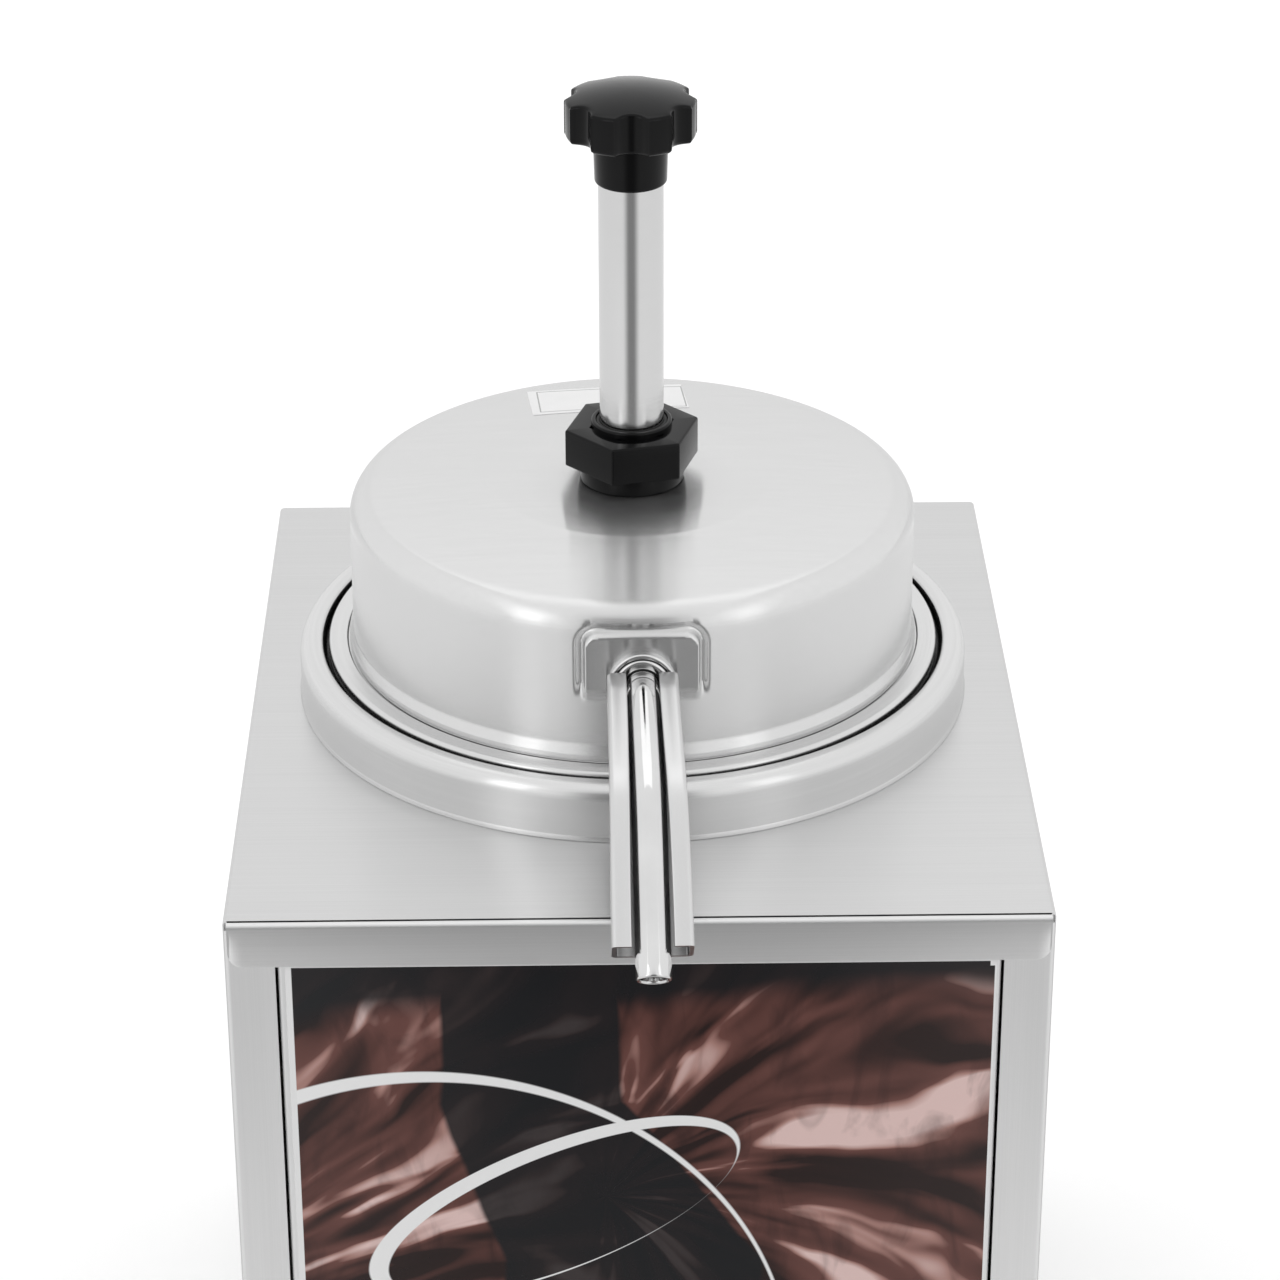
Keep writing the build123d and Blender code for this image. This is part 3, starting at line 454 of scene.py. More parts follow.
def brushed_steel(name, grain, base=0.72, rough=0.36, anisotropy=0.95, streak=1.0, gap=None):
    """Brushed stainless steel: reflections stay sharp along the grain and blur across it.
    grain is x (along the width), z (upwards), or ring (round the pump axis). gap gives the inner and
    outer radius and the height under which a narrow recess gets painted shade: its colour is darkened."""
    s = Shader(name)
    s.set(Metallic=1.0, Anisotropic=anisotropy, Anisotropic_Rotation=0.25)
    hair_scale = HAIR["z" if grain == "z" else "x"]
    band_scale = BAND["z" if grain == "z" else "x"]
    if grain == "ring":
        x, y, z = s.split(s.coords(at=(-AXIS.x, -AXIS.y, 0)))
        radius = s.math("SQRT", s.add(s.times(x, x), s.times(y, y)))
        around = s.times(s.math("ARCTAN2", x, y), 0.09)
        flat = s.vector(around, radius, z)
        hair = s.noise(s.scaled(flat, hair_scale), detail=2.0)
        band = s.noise(s.scaled(flat, band_scale), detail=3.0)
        tangent = s.node("Tangent", direction_type="RADIAL", axis="Z").outputs[0]
    else:
        hair = s.noise(s.coords(hair_scale), detail=2.0)
        band = s.noise(s.coords(band_scale), detail=3.0)
        tangent = s.vector(*{"x": (1.0, 0.0, 0.0), "z": (0.0, 0.0, 1.0)}[grain])
    cloud = s.noise(s.coords((11, 11, 11)), detail=2.0)
    tone = s.add(s.times(hair, 0.08 * streak), s.times(band, 0.04 * streak), base - 0.06 * streak)
    # Painted shade: the colour turns dark in the narrow recess given by gap.
    if gap:
        inner, outer, height = gap
        painted_recess_shade = s.times(s.math("GREATER_THAN", radius, inner), s.math("LESS_THAN", radius, outer),
                         s.math("LESS_THAN", z, height))
        tone = s.times(tone, s.range(painted_recess_shade, 0.0, 1.0, 1.0, 0.05))
    s.set(Base_Color=s.grey(tone))
    s.set(Roughness=s.add(s.times(hair, 0.10 * streak), s.times(cloud, 0.08), rough - 0.09))
    s.link(tangent, s.bsdf.inputs["Tangent"])
    s.bump(s.add(hair, s.times(band, 0.5)), 0.06 * streak, 0.0002)
    return s.material


def polished_steel(name):
    s = Shader(name)
    base, rough = 0.72, 0.07
    haze = s.noise(s.coords((70, 70, 70)), detail=4.0)
    scratch = s.noise(s.coords((300, 2400, 2400)), detail=2.0)
    s.set(Metallic=1.0, Base_Color=s.grey(s.range(haze, 0.3, 0.7, base - 0.03, base + 0.03)))
    s.set(Roughness=s.add(s.times(haze, 0.05), s.times(scratch, 0.04), rough - 0.03))
    s.bump(scratch, 0.02, 0.0001)
    return s.material


def plastic(name, colour, rough, grain=0.02, specular=0.5):
    s = Shader(name)
    s.set(Specular_IOR_Level=specular)
    speck = s.noise(s.coords((900, 900, 900)), detail=4.0)
    cloud = s.noise(s.coords((35, 35, 35)), detail=4.0)
    s.set(Base_Color=s.mix(cloud, tuple(c * 0.8 for c in colour), colour))
    s.set(Roughness=s.add(s.times(cloud, 0.10), s.times(speck, 0.03), rough - 0.065))
    s.bump(speck, grain, 0.0002)
    return s.material


def plain_metal(name, colour, rough):
    s = Shader(name)
    cloud = s.noise(s.coords((90, 90, 90)), detail=4.0)
    s.set(Metallic=1.0, Base_Color=s.mix(cloud, tuple(c * 0.85 for c in colour), colour))
    s.set(Roughness=s.add(s.times(cloud, 0.14), rough - 0.07))
    s.bump(cloud, 0.05, 0.0003)
    return s.material


def fibre_wrap(name):
    """Needled insulation blanket."""
    s = Shader(name)
    tuft = s.noise(s.coords((420, 420, 420)), detail=6.0, roughness=0.7)
    cloud = s.noise(s.coords((30, 30, 30)), detail=3.0)
    s.set(Base_Color=s.mix(tuft, (0.55, 0.50, 0.40), (0.80, 0.77, 0.68)), Sheen_Weight=0.3)
    s.set(Roughness=s.range(cloud, 0.0, 1.0, 0.85, 1.0))
    s.bump(tuft, 0.8, 0.0015)
    return s.material


def lamp_lens(name):
    s = Shader(name)
    cloud = s.noise(s.coords((260, 260, 260)), detail=2.0)
    s.set(Base_Color=s.mix(cloud, (0.80, 0.22, 0.01), (0.95, 0.42, 0.04)), Transmission_Weight=0.35)
    s.set(Roughness=s.range(cloud, 0.0, 1.0, 0.08, 0.2), Coat_Weight=0.6, Coat_Roughness=0.04)
    s.bump(cloud, 0.1, 0.0003)
    return s.material


def label_film(name):
    """A pale label with a thin rule round it and no lettering."""
    s = Shader(name)
    x, y, _ = s.split(s.coords(turn=(0, 0, -LABEL_TURN)))
    middle = AXIS + LABEL_MIDDLE * MM
    middle.rotate(Matrix.Rotation(-LABEL_TURN, 3, "Z"))
    inset, rule = 1.6 * MM, 0.22 * MM
    near_side = s.minus(LABEL_W / 2 * MM, s.math("ABSOLUTE", s.minus(x, middle.x)))
    near_end = s.minus(LABEL_D / 2 * MM, s.math("ABSOLUTE", s.minus(y, middle.y)))
    off = s.math("ABSOLUTE", s.minus(s.math("MINIMUM", near_side, near_end), inset))
    line = s.math("LESS_THAN", off, rule)
    grain = s.noise(s.coords((160, 160, 160)), detail=3.0)
    paper = s.mix(grain, (0.80, 0.80, 0.80), (0.88, 0.88, 0.88))
    s.set(Base_Color=s.mix(s.times(line, 0.65), paper, (0.12, 0.12, 0.12)))
    s.set(Coat_Weight=0.3, Coat_Roughness=0.1)
    s.set(Roughness=s.range(grain, 0.0, 1.0, 0.28, 0.42))
    s.bump(grain, 0.03, 0.0002)
    return s.material


def ellipse_inside(s, u, v, centre, radii, turn, soft=0.012):
    """1 inside an ellipse of the print, 0 outside."""
    du, dv = s.minus(u, centre[0]), s.minus(v, centre[1])
    c, n = cos(radians(turn)), sin(radians(turn))
    along = s.times(s.add(s.times(du, c), s.times(dv, n)), 1 / radii[0])
    over = s.times(s.add(s.times(dv, c), s.times(du, -n)), 1 / radii[1])
    reach = s.math("SQRT", s.add(s.times(along, along), s.times(over, over)))
    return s.range(reach, 1.0 - soft, 1.0 + soft * 0.2, 1.0, 0.0)


def printed_film(name):
    """The glossy printed front: folds of melted chocolate, a dark centre and two plain white sweeps."""
    low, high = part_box("front_graphic")
    s = Shader(name)
    x, _, z = s.split(s.coords())
    u = s.times(x, 1 / MM)
    v = s.times(s.minus(z, high.z), 1 / MM)       # millimetres below the top edge, negative
    wobble = s.noise(s.coords((14, 14, 14)), detail=3.0)

    def fan(focus, count, along, seed):
        """Folds that fan out from a point."""
        du, dv = s.minus(u, focus[0]), s.minus(v, focus[1])
        angle = s.math("ARCTAN2", dv, du)
        reach = s.math("SQRT", s.add(s.times(du, du), s.times(dv, dv)))
        bent = s.add(s.times(angle, count), s.times(wobble, 1.6), s.times(reach, 0.012))
        spot = s.vector(bent, s.times(reach, along), seed)
        return s.noise(spot, detail=2.0, roughness=0.35, distortion=0.9)

    def sweep(outer, outer_radii, inner, inner_radii, turn, soft):
        """A white line of changing width, left between two ellipses."""
        hole = ellipse_inside(s, u, v, inner, inner_radii, turn, soft)
        return s.times(ellipse_inside(s, u, v, outer, outer_radii, turn, soft), s.minus(1.0, hole))

    left = fan((-150.0, -130.0), 9.0, 0.018, 1.0)
    right = fan((-10.0, -78.0), 5.0, 0.016, 4.0)
    side = s.range(u, -20.0, 5.0, 0.0, 1.0, smooth=True)
    fold = s.mix(side, s.grey(left), s.grey(right))
    folds = s.ramp(fold, [(0.0, (0.006, 0.003, 0.003)), (0.36, (0.020, 0.008, 0.007)),
                          (0.46, (0.090, 0.034, 0.028)), (0.57, (0.150, 0.060, 0.050)),
                          (0.61, (0.420, 0.230, 0.200)), (0.68, (0.780, 0.570, 0.540))])
    gloss = s.noise(s.coords((60, 10, 25), turn=(0, 0.6, 0)), detail=4.0, distortion=1.2)
    folds = s.mix(s.range(gloss, 0.50, 0.72, 0.0, 0.6), folds, (0.020, 0.008, 0.008))
    ragged = s.add(u, s.times(s.minus(wobble, 0.5), 10.0))
    lean = s.times(s.range(v, -46.0, -100.0, 0.0, 1.0), 40.0)
    band_left = s.range(s.minus(ragged, s.times(lean, 0.4)), -57.5, -55.5, 0.0, 1.0, smooth=True)
    band_right = s.range(s.minus(ragged, lean), -6.5, -4.5, 1.0, 0.0, smooth=True)
    band = s.times(band_left, band_right)
    crown = s.range(s.add(v, s.times(s.minus(wobble, 0.5), 22.0), s.times(u, -0.03)), -18.0, -8.0,
                    0.0, 1.0, smooth=True)
    dark = s.math("MAXIMUM", band, crown)
    picture = s.mix(s.times(dark, 0.95), folds, (0.006, 0.007, 0.009))
    large = sweep((-62, -141), (106, 106), (-59.3, -141), (102.5, 102.5), 0, 0.004)
    small = sweep((-25, -82), (58, 21.5), (-22.6, -83.0), (54.6, 19.2), 25, 0.008)
    picture = s.mix(s.math("MAXIMUM", large, small), picture, (0.90, 0.90, 0.90))
    left_edge = s.range(x, low.x + 1.7 * MM, low.x + 1.8 * MM)
    right_edge = s.range(x, high.x - 0.7 * MM, high.x - 0.6 * MM, 1.0, 0.0)
    top_edge = s.range(v, -0.7, -0.6, 1.0, 0.0)
    corner = s.times(s.range(x, high.x - 2.0 * MM, high.x - 1.9 * MM), s.range(v, -2.2, -2.1))
    tab = s.minus(1.0, corner)                               # a small unprinted corner at the top right
    printed = s.times(left_edge, right_edge, top_edge, tab)
    s.set(Base_Color=s.mix(printed, (0.86, 0.86, 0.86), picture), Specular_IOR_Level=0.3)
    ripple = s.noise(s.coords((9, 9, 9)), detail=1.0)
    s.set(Roughness=s.range(ripple, 0.0, 1.0, 0.10, 0.2))
    s.bump(ripple, 0.02, 0.002)
    return s.material


LABEL_W, LABEL_D, LABEL_TURN = 48.4, 20.8, radians(4.5)
LABEL_MIDDLE = Vector((-5.6, 59.4, 0))       # behind the pump, from its axis
DECK_STEEL = brushed_steel("deck_steel", "x")
# The flange and strip steels are lighter copies of the deck and side steel, for faces that look forward:
# painted light.
LIT_FLANGE_STEEL = brushed_steel("lit_flange_steel", "x", base=0.86)
LIT_STRIP_STEEL = brushed_steel("lit_strip_steel", "z", base=0.88)
SIDE_STEEL = brushed_steel("side_steel", "z", base=0.70)
LID_STEEL = brushed_steel("lid_steel", "x", base=0.76, rough=0.25, anisotropy=1.0, streak=0.8)
RING_STEEL = brushed_steel("ring_steel", "ring", rough=0.24, anisotropy=0.85)
# Ring steel with painted shade in the recess between the pot flange and the collar.
WELL_STEEL = brushed_steel("well_steel", "ring", rough=0.24, anisotropy=0.85,
                           gap=(91.9 * MM, 93.9 * MM, DECK + 16.7 * MM))
TUBE_STEEL = brushed_steel("tube_steel", "ring", rough=0.17, anisotropy=0.5, streak=0.5)
GUARD_STEEL = brushed_steel("guard_steel", "z", base=0.68, rough=0.33, anisotropy=0.3, streak=0.4)
POLISHED = polished_steel("polished_steel")
SCREW = plain_metal("screw_steel", (0.66, 0.66, 0.66), 0.26)
SPRING = plain_metal("spring_steel", (0.58, 0.58, 0.57), 0.30)
BRASS = plain_metal("brass", (0.80, 0.62, 0.28), 0.25)
ALLOY = plain_metal("cast_alloy", (0.72, 0.72, 0.74), 0.45)
SHEATH = plain_metal("heater_sheath", (0.22, 0.21, 0.20), 0.5)
BLACK = plastic("black_plastic", (0.003, 0.003, 0.0033), rough=0.14, specular=0.18)
SATIN_BLACK = plastic("control_black", (0.022, 0.022, 0.023), rough=0.40, grain=0.10)
WHITE = plastic("white_plastic", (0.80, 0.79, 0.75), rough=0.40)
RUBBER = plastic("black_rubber", (0.016, 0.016, 0.016), rough=0.62, grain=0.20)
LEAD = plastic("lead_cover", (0.30, 0.05, 0.04), rough=0.45)
DIAL = plastic("dial_face", (0.78, 0.78, 0.77), rough=0.32)
INK = plastic("dial_ink", (0.02, 0.02, 0.02), rough=0.45)
AMBER = lamp_lens("lamp_lens")
FIBRE = fibre_wrap("insulation")
LABEL = label_film("label_film")
FILM = printed_film("printed_film")


# ---------------------------------------------------------------- housing
STRIP_W = 14.0
FLANGE_H = 13.0
WINDOW_W = 2 * HALF_W - 2 * STRIP_W
STRIP_Y = FRONT + SHEET                      # the front strips stand one sheet behind the flange
CONTROL_Z, KNOB_Y, LAMP_Y, ROCKER_Y = 62.0, 52.0, 12.0, -22.0
DECK_HOLE_R, SHAFT_HOLE_R, LAMP_HOLE_R = 87.0, 5.4, 4.7
ROCKER_HOLE_W, ROCKER_HOLE_H = 13.4, 19.4


def make_casing():
    """Deck, side walls and folded strips in one sheet, with the openings cut out of it."""
    corner, edge, lower, top = 1.6, 1.0, FOOT_H, DECK_Z
    mid_y, depth, width = (STRIP_Y + BACK) / 2, BACK - STRIP_Y, 2 * HALF_W

    def outline(inset):
        return box_outline(width - 2 * inset, depth - 2 * inset, max(0.6, corner - inset), steps=6)

    turn = [pi / 2 * i / 5 for i in range(6)]
    layers = [(outline(0.3), lower), (outline(0), lower + 0.3)]
    layers += [(outline(edge * (1 - cos(t))), top - edge * (1 - sin(t))) for t in turn]
    shell = stack("casing", layers, level(0, y=mid_y))
    inner = stack("inner", [(outline(SHEET), lower - 5), (outline(SHEET), top - SHEET)], level(0, y=mid_y))
    half_window, half_w, half_h = WINDOW_W / 2, ROCKER_HOLE_W / 2, ROCKER_HOLE_H / 2
    cutters = [
        inner,
        block("front_window", level(0), (-half_window, STRIP_Y - 1, lower - 2),
              (half_window, STRIP_Y + 4, top - 3)),
        block("back_window", level(0), (-half_window, BACK - 4, lower - 2),
              (half_window, BACK + 4, top - FLANGE_H)),
        drill("deck_hole", DECK_HOLE_R, 6, PUMP, steps=96),
        drill("shaft_hole", SHAFT_HOLE_R, 4, facing_right(KNOB_Y, CONTROL_Z)),
        drill("lamp_hole", LAMP_HOLE_R, 4, facing_right(LAMP_Y, CONTROL_Z)),
        block("rocker_hole", facing_right(ROCKER_Y, CONTROL_Z), (-half_w, -half_h, -4), (half_w, half_h, 4)),
    ]
    for side in (-1, 1):                                 # small relief slits where the folds meet
        cutters.append(block("relief", level(0, side * (HALF_W - 0.9)), (-0.45, FRONT - 1, top - 2.2),
                             (0.45, STRIP_Y + 1.2, top + 1)))
    return cut(shell, cutters)


def make_flange():
    """The front edge of the deck, bent down over the strips, with round lower corners."""
    half, corner, bend = HALF_W - 1.2, 4.2, 1.2
    top, bottom = DECK_Z, DECK_Z - FLANGE_H
    rings = []
    places = [-half + corner * (1 - cos(pi / 2 * i / 8)) for i in range(9)]
    for x in places + [-p for p in places[::-1]]:
        inset = max(0.0, corner - (half - abs(x)))
        foot = bottom + corner - sqrt(max(0.0, corner ** 2 - inset ** 2))
        path = rounded([(FRONT, foot), (FRONT, top), (FRONT + 2.9, top)], [bend], 6, closed=False)
        section = sheet_section(path, SHEET * 0.9, side=-1)
        rings.append([Vector((x, p[0], p[1])) * MM for p in section])
    return loft("front_flange", rings)


casing = make_casing()
shade(casing, 30)
piece("casing_sheet", casing, DECK_STEEL, "housing", "housing_steel", "casing")
casing.materials.append(LIT_STRIP_STEEL)
casing.materials.append(SIDE_STEEL)
# Faces that look forward or back take the lighter strip steel, which is painted light; the sides take the
# side steel.
for polygon in casing.polygons:
    facing = [abs(c) for c in polygon.normal]
    if facing[2] < 0.7:
        polygon.material_index = 1 if facing[1] > facing[0] else 2
piece("front_flange", make_flange(), LIT_FLANGE_STEEL, "housing", "housing_steel")

PANEL_W = WINDOW_W - 1.4
PANEL_TOP, PANEL_BOTTOM = DECK_Z - 4.0, FOOT_H + 0.5
panel_path = rounded([(-PANEL_W / 2, 10), (-PANEL_W / 2, 0), (PANEL_W / 2, 0), (PANEL_W / 2, 10)], [1.2, 1.2],
                     5, closed=False)
panel_section = sheet_section(panel_path, SHEET, side=1)
panel = stack("front_panel_sheet", [(panel_section, PANEL_BOTTOM), (panel_section, PANEL_TOP)],
              level(0, y=STRIP_Y + 0.1))
piece("front_panel_sheet", panel, LIT_STRIP_STEEL, "housing", "housing_steel", "front_panel")

film_low, film_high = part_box("front_graphic")
film_size = (film_high - film_low) / MM
film_mid = (film_high + film_low) / 2 / MM
film_place = place((film_mid.x, film_high.y / MM, film_mid.z), (1, 0, 0), (0, -1, 0))
film = plate("front_film", box_outline(film_size.x, film_size.z, 0.8), film_place, film_size.y, bevel=0.06)
piece("front_film", film, FILM, "housing", "printed_film", "front_graphic")

# ---------------------------------------------------------------- well and pot
pan_path = rounded([(101.2, 0.5), (100.8, 1.6), (100.8, 17.5), (93.5, 17.5), (93.5, 13.4), (84.8, 13.4),
                    (84.8, -188), (0, -188)], [0.8, 4.6, 2.3, 1.2, 1.2, 9], 8, closed=False)
piece("well_collar", turned("well_collar", sheet_section(pan_path, POT_SHEET), PUMP, 256), WELL_STEEL,
      "housing", "pan_steel", "well_pan")
pot_path = rounded([(92.1, 14.4), (92.1, 17.6), (86.5, 17.6), (86.1, 16.9), (78, 16.9), (78, -165),
                    (0, -165)], [1.5, 0.3, 0.3, 2.0, 12.0], 8, closed=False)
piece("pot_sheet", turned("pot_sheet", sheet_section(pot_path, POT_SHEET), PUMP, 256), RING_STEEL,
      "pot", "pan_steel", "food_pot")

# ---------------------------------------------------------------- lid
LID_R, LID_TOP, CROWN_EDGE = 84.4, 68.0, 65.0
CROWN_R, CROWN_STEP = 41.4, 0.17             # the flat middle of the crown ends in a faint pressed ring


def smooth(value):
    t = max(0.0, min(1.0, value))
    return t * t * (3 - 2 * t)


def pad(radius, height, angle):
    """The boss pressed in the skirt for the spout's fitting: a groove round a raised flat face, open at
    its foot."""
    a = (angle + pi) % (2 * pi) - pi
    if abs(a) > 0.4 or radius < 70 or not 25 < height < 63.6:
        return radius, height
    half, top, corner, flat = 19.6, 61.2, 7.0, LID_R + 0.5
    dx = abs(LID_R * a) - (half - corner)
    dz = height - (top - corner)
    reach = corner - (hypot(dx, dz) if dx > 0 and dz > 0 else max(dx, dz))
    groove = -1.25 * smooth(1 - abs(reach - 2.0) / 2.1) * smooth((height - 37.0) / 6.0)
    step = smooth((reach - 2.2) / 1.9) * smooth((height - 36.0) / 5.0)
    return radius + groove + step * (flat / cos(a) - LID_R), height


lid_path = rounded([(12.2, LID_TOP), (CROWN_R, LID_TOP), (CROWN_R + 2, LID_TOP - CROWN_STEP),
                    (LID_R, CROWN_EDGE), (LID_R, 22.4), (85.6, 19.4), (85.6, 17.5)],
                   [1.5, 1.5, 8.0, 2.5, 1.2], 10, closed=False)
skirt = [p for p in lid_path if p.y > 60.5] + dense([p for p in lid_path if p.y <= 60.5], 0.45)
fine = radians(0.22)
near = [fine * i for i in range(-72, 73)]
far = [near[-1] + (2 * pi - 2 * near[-1]) * i / 160 for i in range(1, 160)]
lid = turned("lid_sheet", sheet_section(skirt, POT_SHEET, side=-1), PUMP, angles=near + far, shift=pad)
piece("lid_sheet", lid, LID_STEEL, "lid", "lid_steel", "lid_shell")


def make_label():
    """A thin label that lies on the slightly conical crown."""
    columns, rows, film = 24, 10, 0.12

    def crown(spot, lift):
        slope = (LID_TOP - CROWN_STEP - CROWN_EDGE) / (LID_R - CROWN_R - 2)
        height = LID_TOP - CROWN_STEP - slope * (spot.length - CROWN_R - 2)
        return PUMP @ (Vector((spot.x, spot.y, height + lift)) * MM)

    rings = []
    for j in range(rows + 1):
        row = []
        for i in range(columns + 1):
            spot = turn_by(Vector(((i / columns - 0.5) * LABEL_W, (j / rows - 0.5) * LABEL_D)), LABEL_TURN)
            row.append(spot + LABEL_MIDDLE.xy)
        rings.append([crown(spot, film) for spot in row] + [crown(spot, 0.01) for spot in row[::-1]])
    return loft("crown_label", rings)


piece("crown_label", make_label(), LABEL, "lid", "label_film", "lid_label")

# ---------------------------------------------------------------- pump head, nut, plunger and knob
TUBE_R, NECK_R = 9.5, 12.0
NUT_Z, NUT_H, NUT_AF, NUT_TURN = 73.7, 11.4, 35.2, radians(12.8 + 30)
KNOB_Z, KNOB_R, STAR_H, CROWN_H = 161.7, 19.05, 12.1, 3.0

head = rounded([(9.55, 50), (14.5, 50), (14.5, 60), (17, 60), (17, 67.2), (NECK_R, 67.2), (NECK_R, 87),
                (10.7, 87), (10.7, 83), (9.55, 83)], [0, 0, 0, 0, 0, 0, 0.6, 0.25, 0, 0])
piece("pump_neck", turned("pump_neck", head, PUMP, 128), BLACK, "lid", "black_plastic", "pump_head")
wiper = rounded([(9.55, 83.1), (10.65, 83.1), (10.65, 86.5), (9.55, 86.7)], [0, 0, 0.45, 0.3])
piece("wiper_ring", turned("wiper_ring", wiper, PUMP, 128), RUBBER, "lid", "seal_rubber", "neck_wiper")
washer = rounded([(12.2, 68), (15.4, 68), (15.4, 73.7), (12.2, 73.7)], [0, 0.5, 1.0, 0])
piece("nut_collar", turned("nut_collar", washer, PUMP, 128), BLACK, "lid", "black_plastic", "nut_washer")


def nut_outline(inset):
    """A hexagon with slightly round corners."""
    reach = (NUT_AF - 2 * inset) / sqrt(3)
    corners = [turn_by(Vector((reach, 0)), NUT_TURN + pi / 6 + k * pi / 3) for k in range(6)]
    return rounded(corners, [max(0.3, 0.8 - inset)] * 6, 5)


def round_hole(radius, outline):
    """A circle with one point on the same ray as each point of the outline."""
    return [p.normalized() * radius for p in outline]


def make_nut():
    """The hexagonal nut, with a small bevel and a countersunk hole."""
    top, foot_bevel, bevel = NUT_Z + NUT_H, 0.4, 0.7
    turn = [pi / 2 * i / 4 for i in range(5)]
    layers = [(nut_outline(foot_bevel * (1 - sin(t))), NUT_Z + foot_bevel * (1 - cos(t))) for t in turn]
    layers += [(nut_outline(bevel * (1 - cos(t))), top - bevel * (1 - sin(t))) for t in turn]
    edge = nut_outline(bevel)
    layers += [(round_hole(radius, edge), top - drop) for radius, drop in
               ((12.9, 0.0), (12.5, 0.4), (12.05, 0.8), (12.05, NUT_H))]
    rings = [[PLUNGER @ (Vector((p.x, p.y, h)) * MM) for p in outline] for outline, h in layers]
    return loft("clamp_nut", rings, wrap=True, sharp=28)


piece("clamp_nut", make_nut(), BLACK, "lid", "black_plastic", "hex_nut")

tube_low, tube_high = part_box("plunger_tube")
low, high = (tube_low.z - DECK) / MM, (tube_high.z - DECK) / MM
tube = rounded([(8.3, low), (TUBE_R, low), (TUBE_R, high), (8.3, high)], 0.3, 3)
piece("plunger_sleeve", turned("plunger_sleeve", tube, PUMP, 128), TUBE_STEEL, "plunger", "pump_steel",
      "plunger_tube")


def star_outline(inset):
    """Seven lobes on a circle, with round valleys between them."""
    lobes, valley, blend = 7, 5.4, 0.9
    centre, knob_r = KNOB_R + 2.6, KNOB_R - inset
    made = []
    for i in range(252):
        a = 2 * pi * i / 252
        off = (a - pi / 2) % (2 * pi / lobes) - pi / lobes
        under = (valley + inset) ** 2 - (centre * sin(off)) ** 2
        reach = centre * cos(off) - sqrt(under) if under > 0 else knob_r
        h = max(0.0, min(1.0, 0.5 + 0.5 * (reach - knob_r) / blend))
        radius = reach * (1 - h) + knob_r * h - blend * h * (1 - h)
        made.append(Vector((radius * cos(a), radius * sin(a))))
    return made


def make_star():
    """The lobed head: a round foot edge, a round upper edge and a low dome."""
    low, foot_edge, upper_edge = KNOB_Z + 13.7, 1.6, 0.8
    top = low + STAR_H
    turn = [pi / 2 * i / 5 for i in range(6)]

    def flat(outline, height):
        return [Vector((p.x, p.y, height)) for p in outline]

    def dome(outline, rise):
        return [Vector((p.x, p.y, top + rise + CROWN_H * (1 - (p.length / KNOB_R) ** 2))) for p in outline]

    foot, edge = star_outline(foot_edge), star_outline(upper_edge)
    rings = [flat([p * share for p in foot], low) for share in (0.0, 0.3, 0.7)]
    rings += [flat(star_outline(foot_edge * (1 - cos(t))), low + foot_edge * (1 - sin(t)))
              for t in turn[::-1]]
    rings += [dome(star_outline(upper_edge * (1 - cos(t))), upper_edge * sin(t) - 1.5) for t in turn]
    rings += [dome([p * share for p in edge], -0.7)
              for share in (0.92, 0.8, 0.65, 0.5, 0.35, 0.2, 0.1, 0.04, 0.0)]
    return loft("knob_star", [[PLUNGER @ (p * MM) for p in ring] for ring in rings], sharp=50)


hub = rounded([(9.52, KNOB_Z), (10.5, KNOB_Z), (10.9, KNOB_Z + 14.5), (4.0, KNOB_Z + 14.5), (4.0, KNOB_Z + 8),
               (9.52, KNOB_Z + 8)], [0.3, 0.9, 0, 0, 0, 0])
knob = joined("hand_knob", make_star(), turned("knob_hub", hub, PUMP, 96))
piece("hand_knob", knob, BLACK, "plunger", "black_plastic", "star_knob")


def make_spring():
    """A coil of round wire with closed, flat ends."""
    low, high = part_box("return_spring")
    low, high = low / MM, high / MM
    wire, coils, dead = 0.8, 9, 0.8
    coil_r = (high.x - low.x) / 2 - wire
    free_h = high.z - low.z - 2 * wire
    foot = Vector((AXIS.x / MM, AXIS.y / MM, low.z + wire))
    steps, sides = 32, 10
    count = int((coils + 2 * dead) * steps)
    rings = []
    for i in range(count + 1):
        rise = min(1.0, max(0.0, (i / steps - dead) / coils))
        out = Vector((cos(2 * pi * i / steps), sin(2 * pi * i / steps), 0))
        centre = foot + out * coil_r + UP * free_h * rise
        rings.append([(centre + (out * cos(2 * pi * k / sides) + UP * sin(2 * pi * k / sides)) * wire) * MM
                      for k in range(sides)])
    return loft("coil_spring", rings, sharp=60)


spring = piece("coil_spring", make_spring(), SPRING, "lid", "spring_steel", "return_spring")
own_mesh(spring)


# ---------------------------------------------------------------- spout, guard and fitting
SPOUT_Z, SPOUT_R, SPOUT_BORE = 43.6, 5.0, 3.7
LEVEL_END, KNEE_RHO, DROOP = 92.0, 137.5, radians(14)     # level to here, then down to the knee
TIP_RUN, GUARD_RUN = 48.4, 39.9                          # beyond the knee, at 45 degrees
KNEE = Vector((KNEE_RHO, SPOUT_Z - (KNEE_RHO - LEVEL_END) * tan(DROOP)))
DOWN = Vector((cos(radians(45)), -sin(radians(45))))
TIP = KNEE + DOWN * TIP_RUN
GUARD_END = KNEE + DOWN * GUARD_RUN


def stations(path):
    """(point, upward normal, tangent, share of the length) at each point of a path in the spout's plane."""
    lengths = [0.0]
    for a, b in zip(path, path[1:]):
        lengths.append(lengths[-1] + (b - a).length)
    made = []
    for i, point in enumerate(path):
        tangent = (path[min(i + 1, len(path) - 1)] - path[max(i - 1, 0)]).normalized()
        made.append((point, Vector((-tangent.y, tangent.x)), tangent, lengths[i] / lengths[-1]))
    return made


def in_spout(point, across):
    """A point of the spout's plane, moved sideways."""
    return AXIS + (FORWARD * point.x + UP * point.y + ACROSS * across) * MM


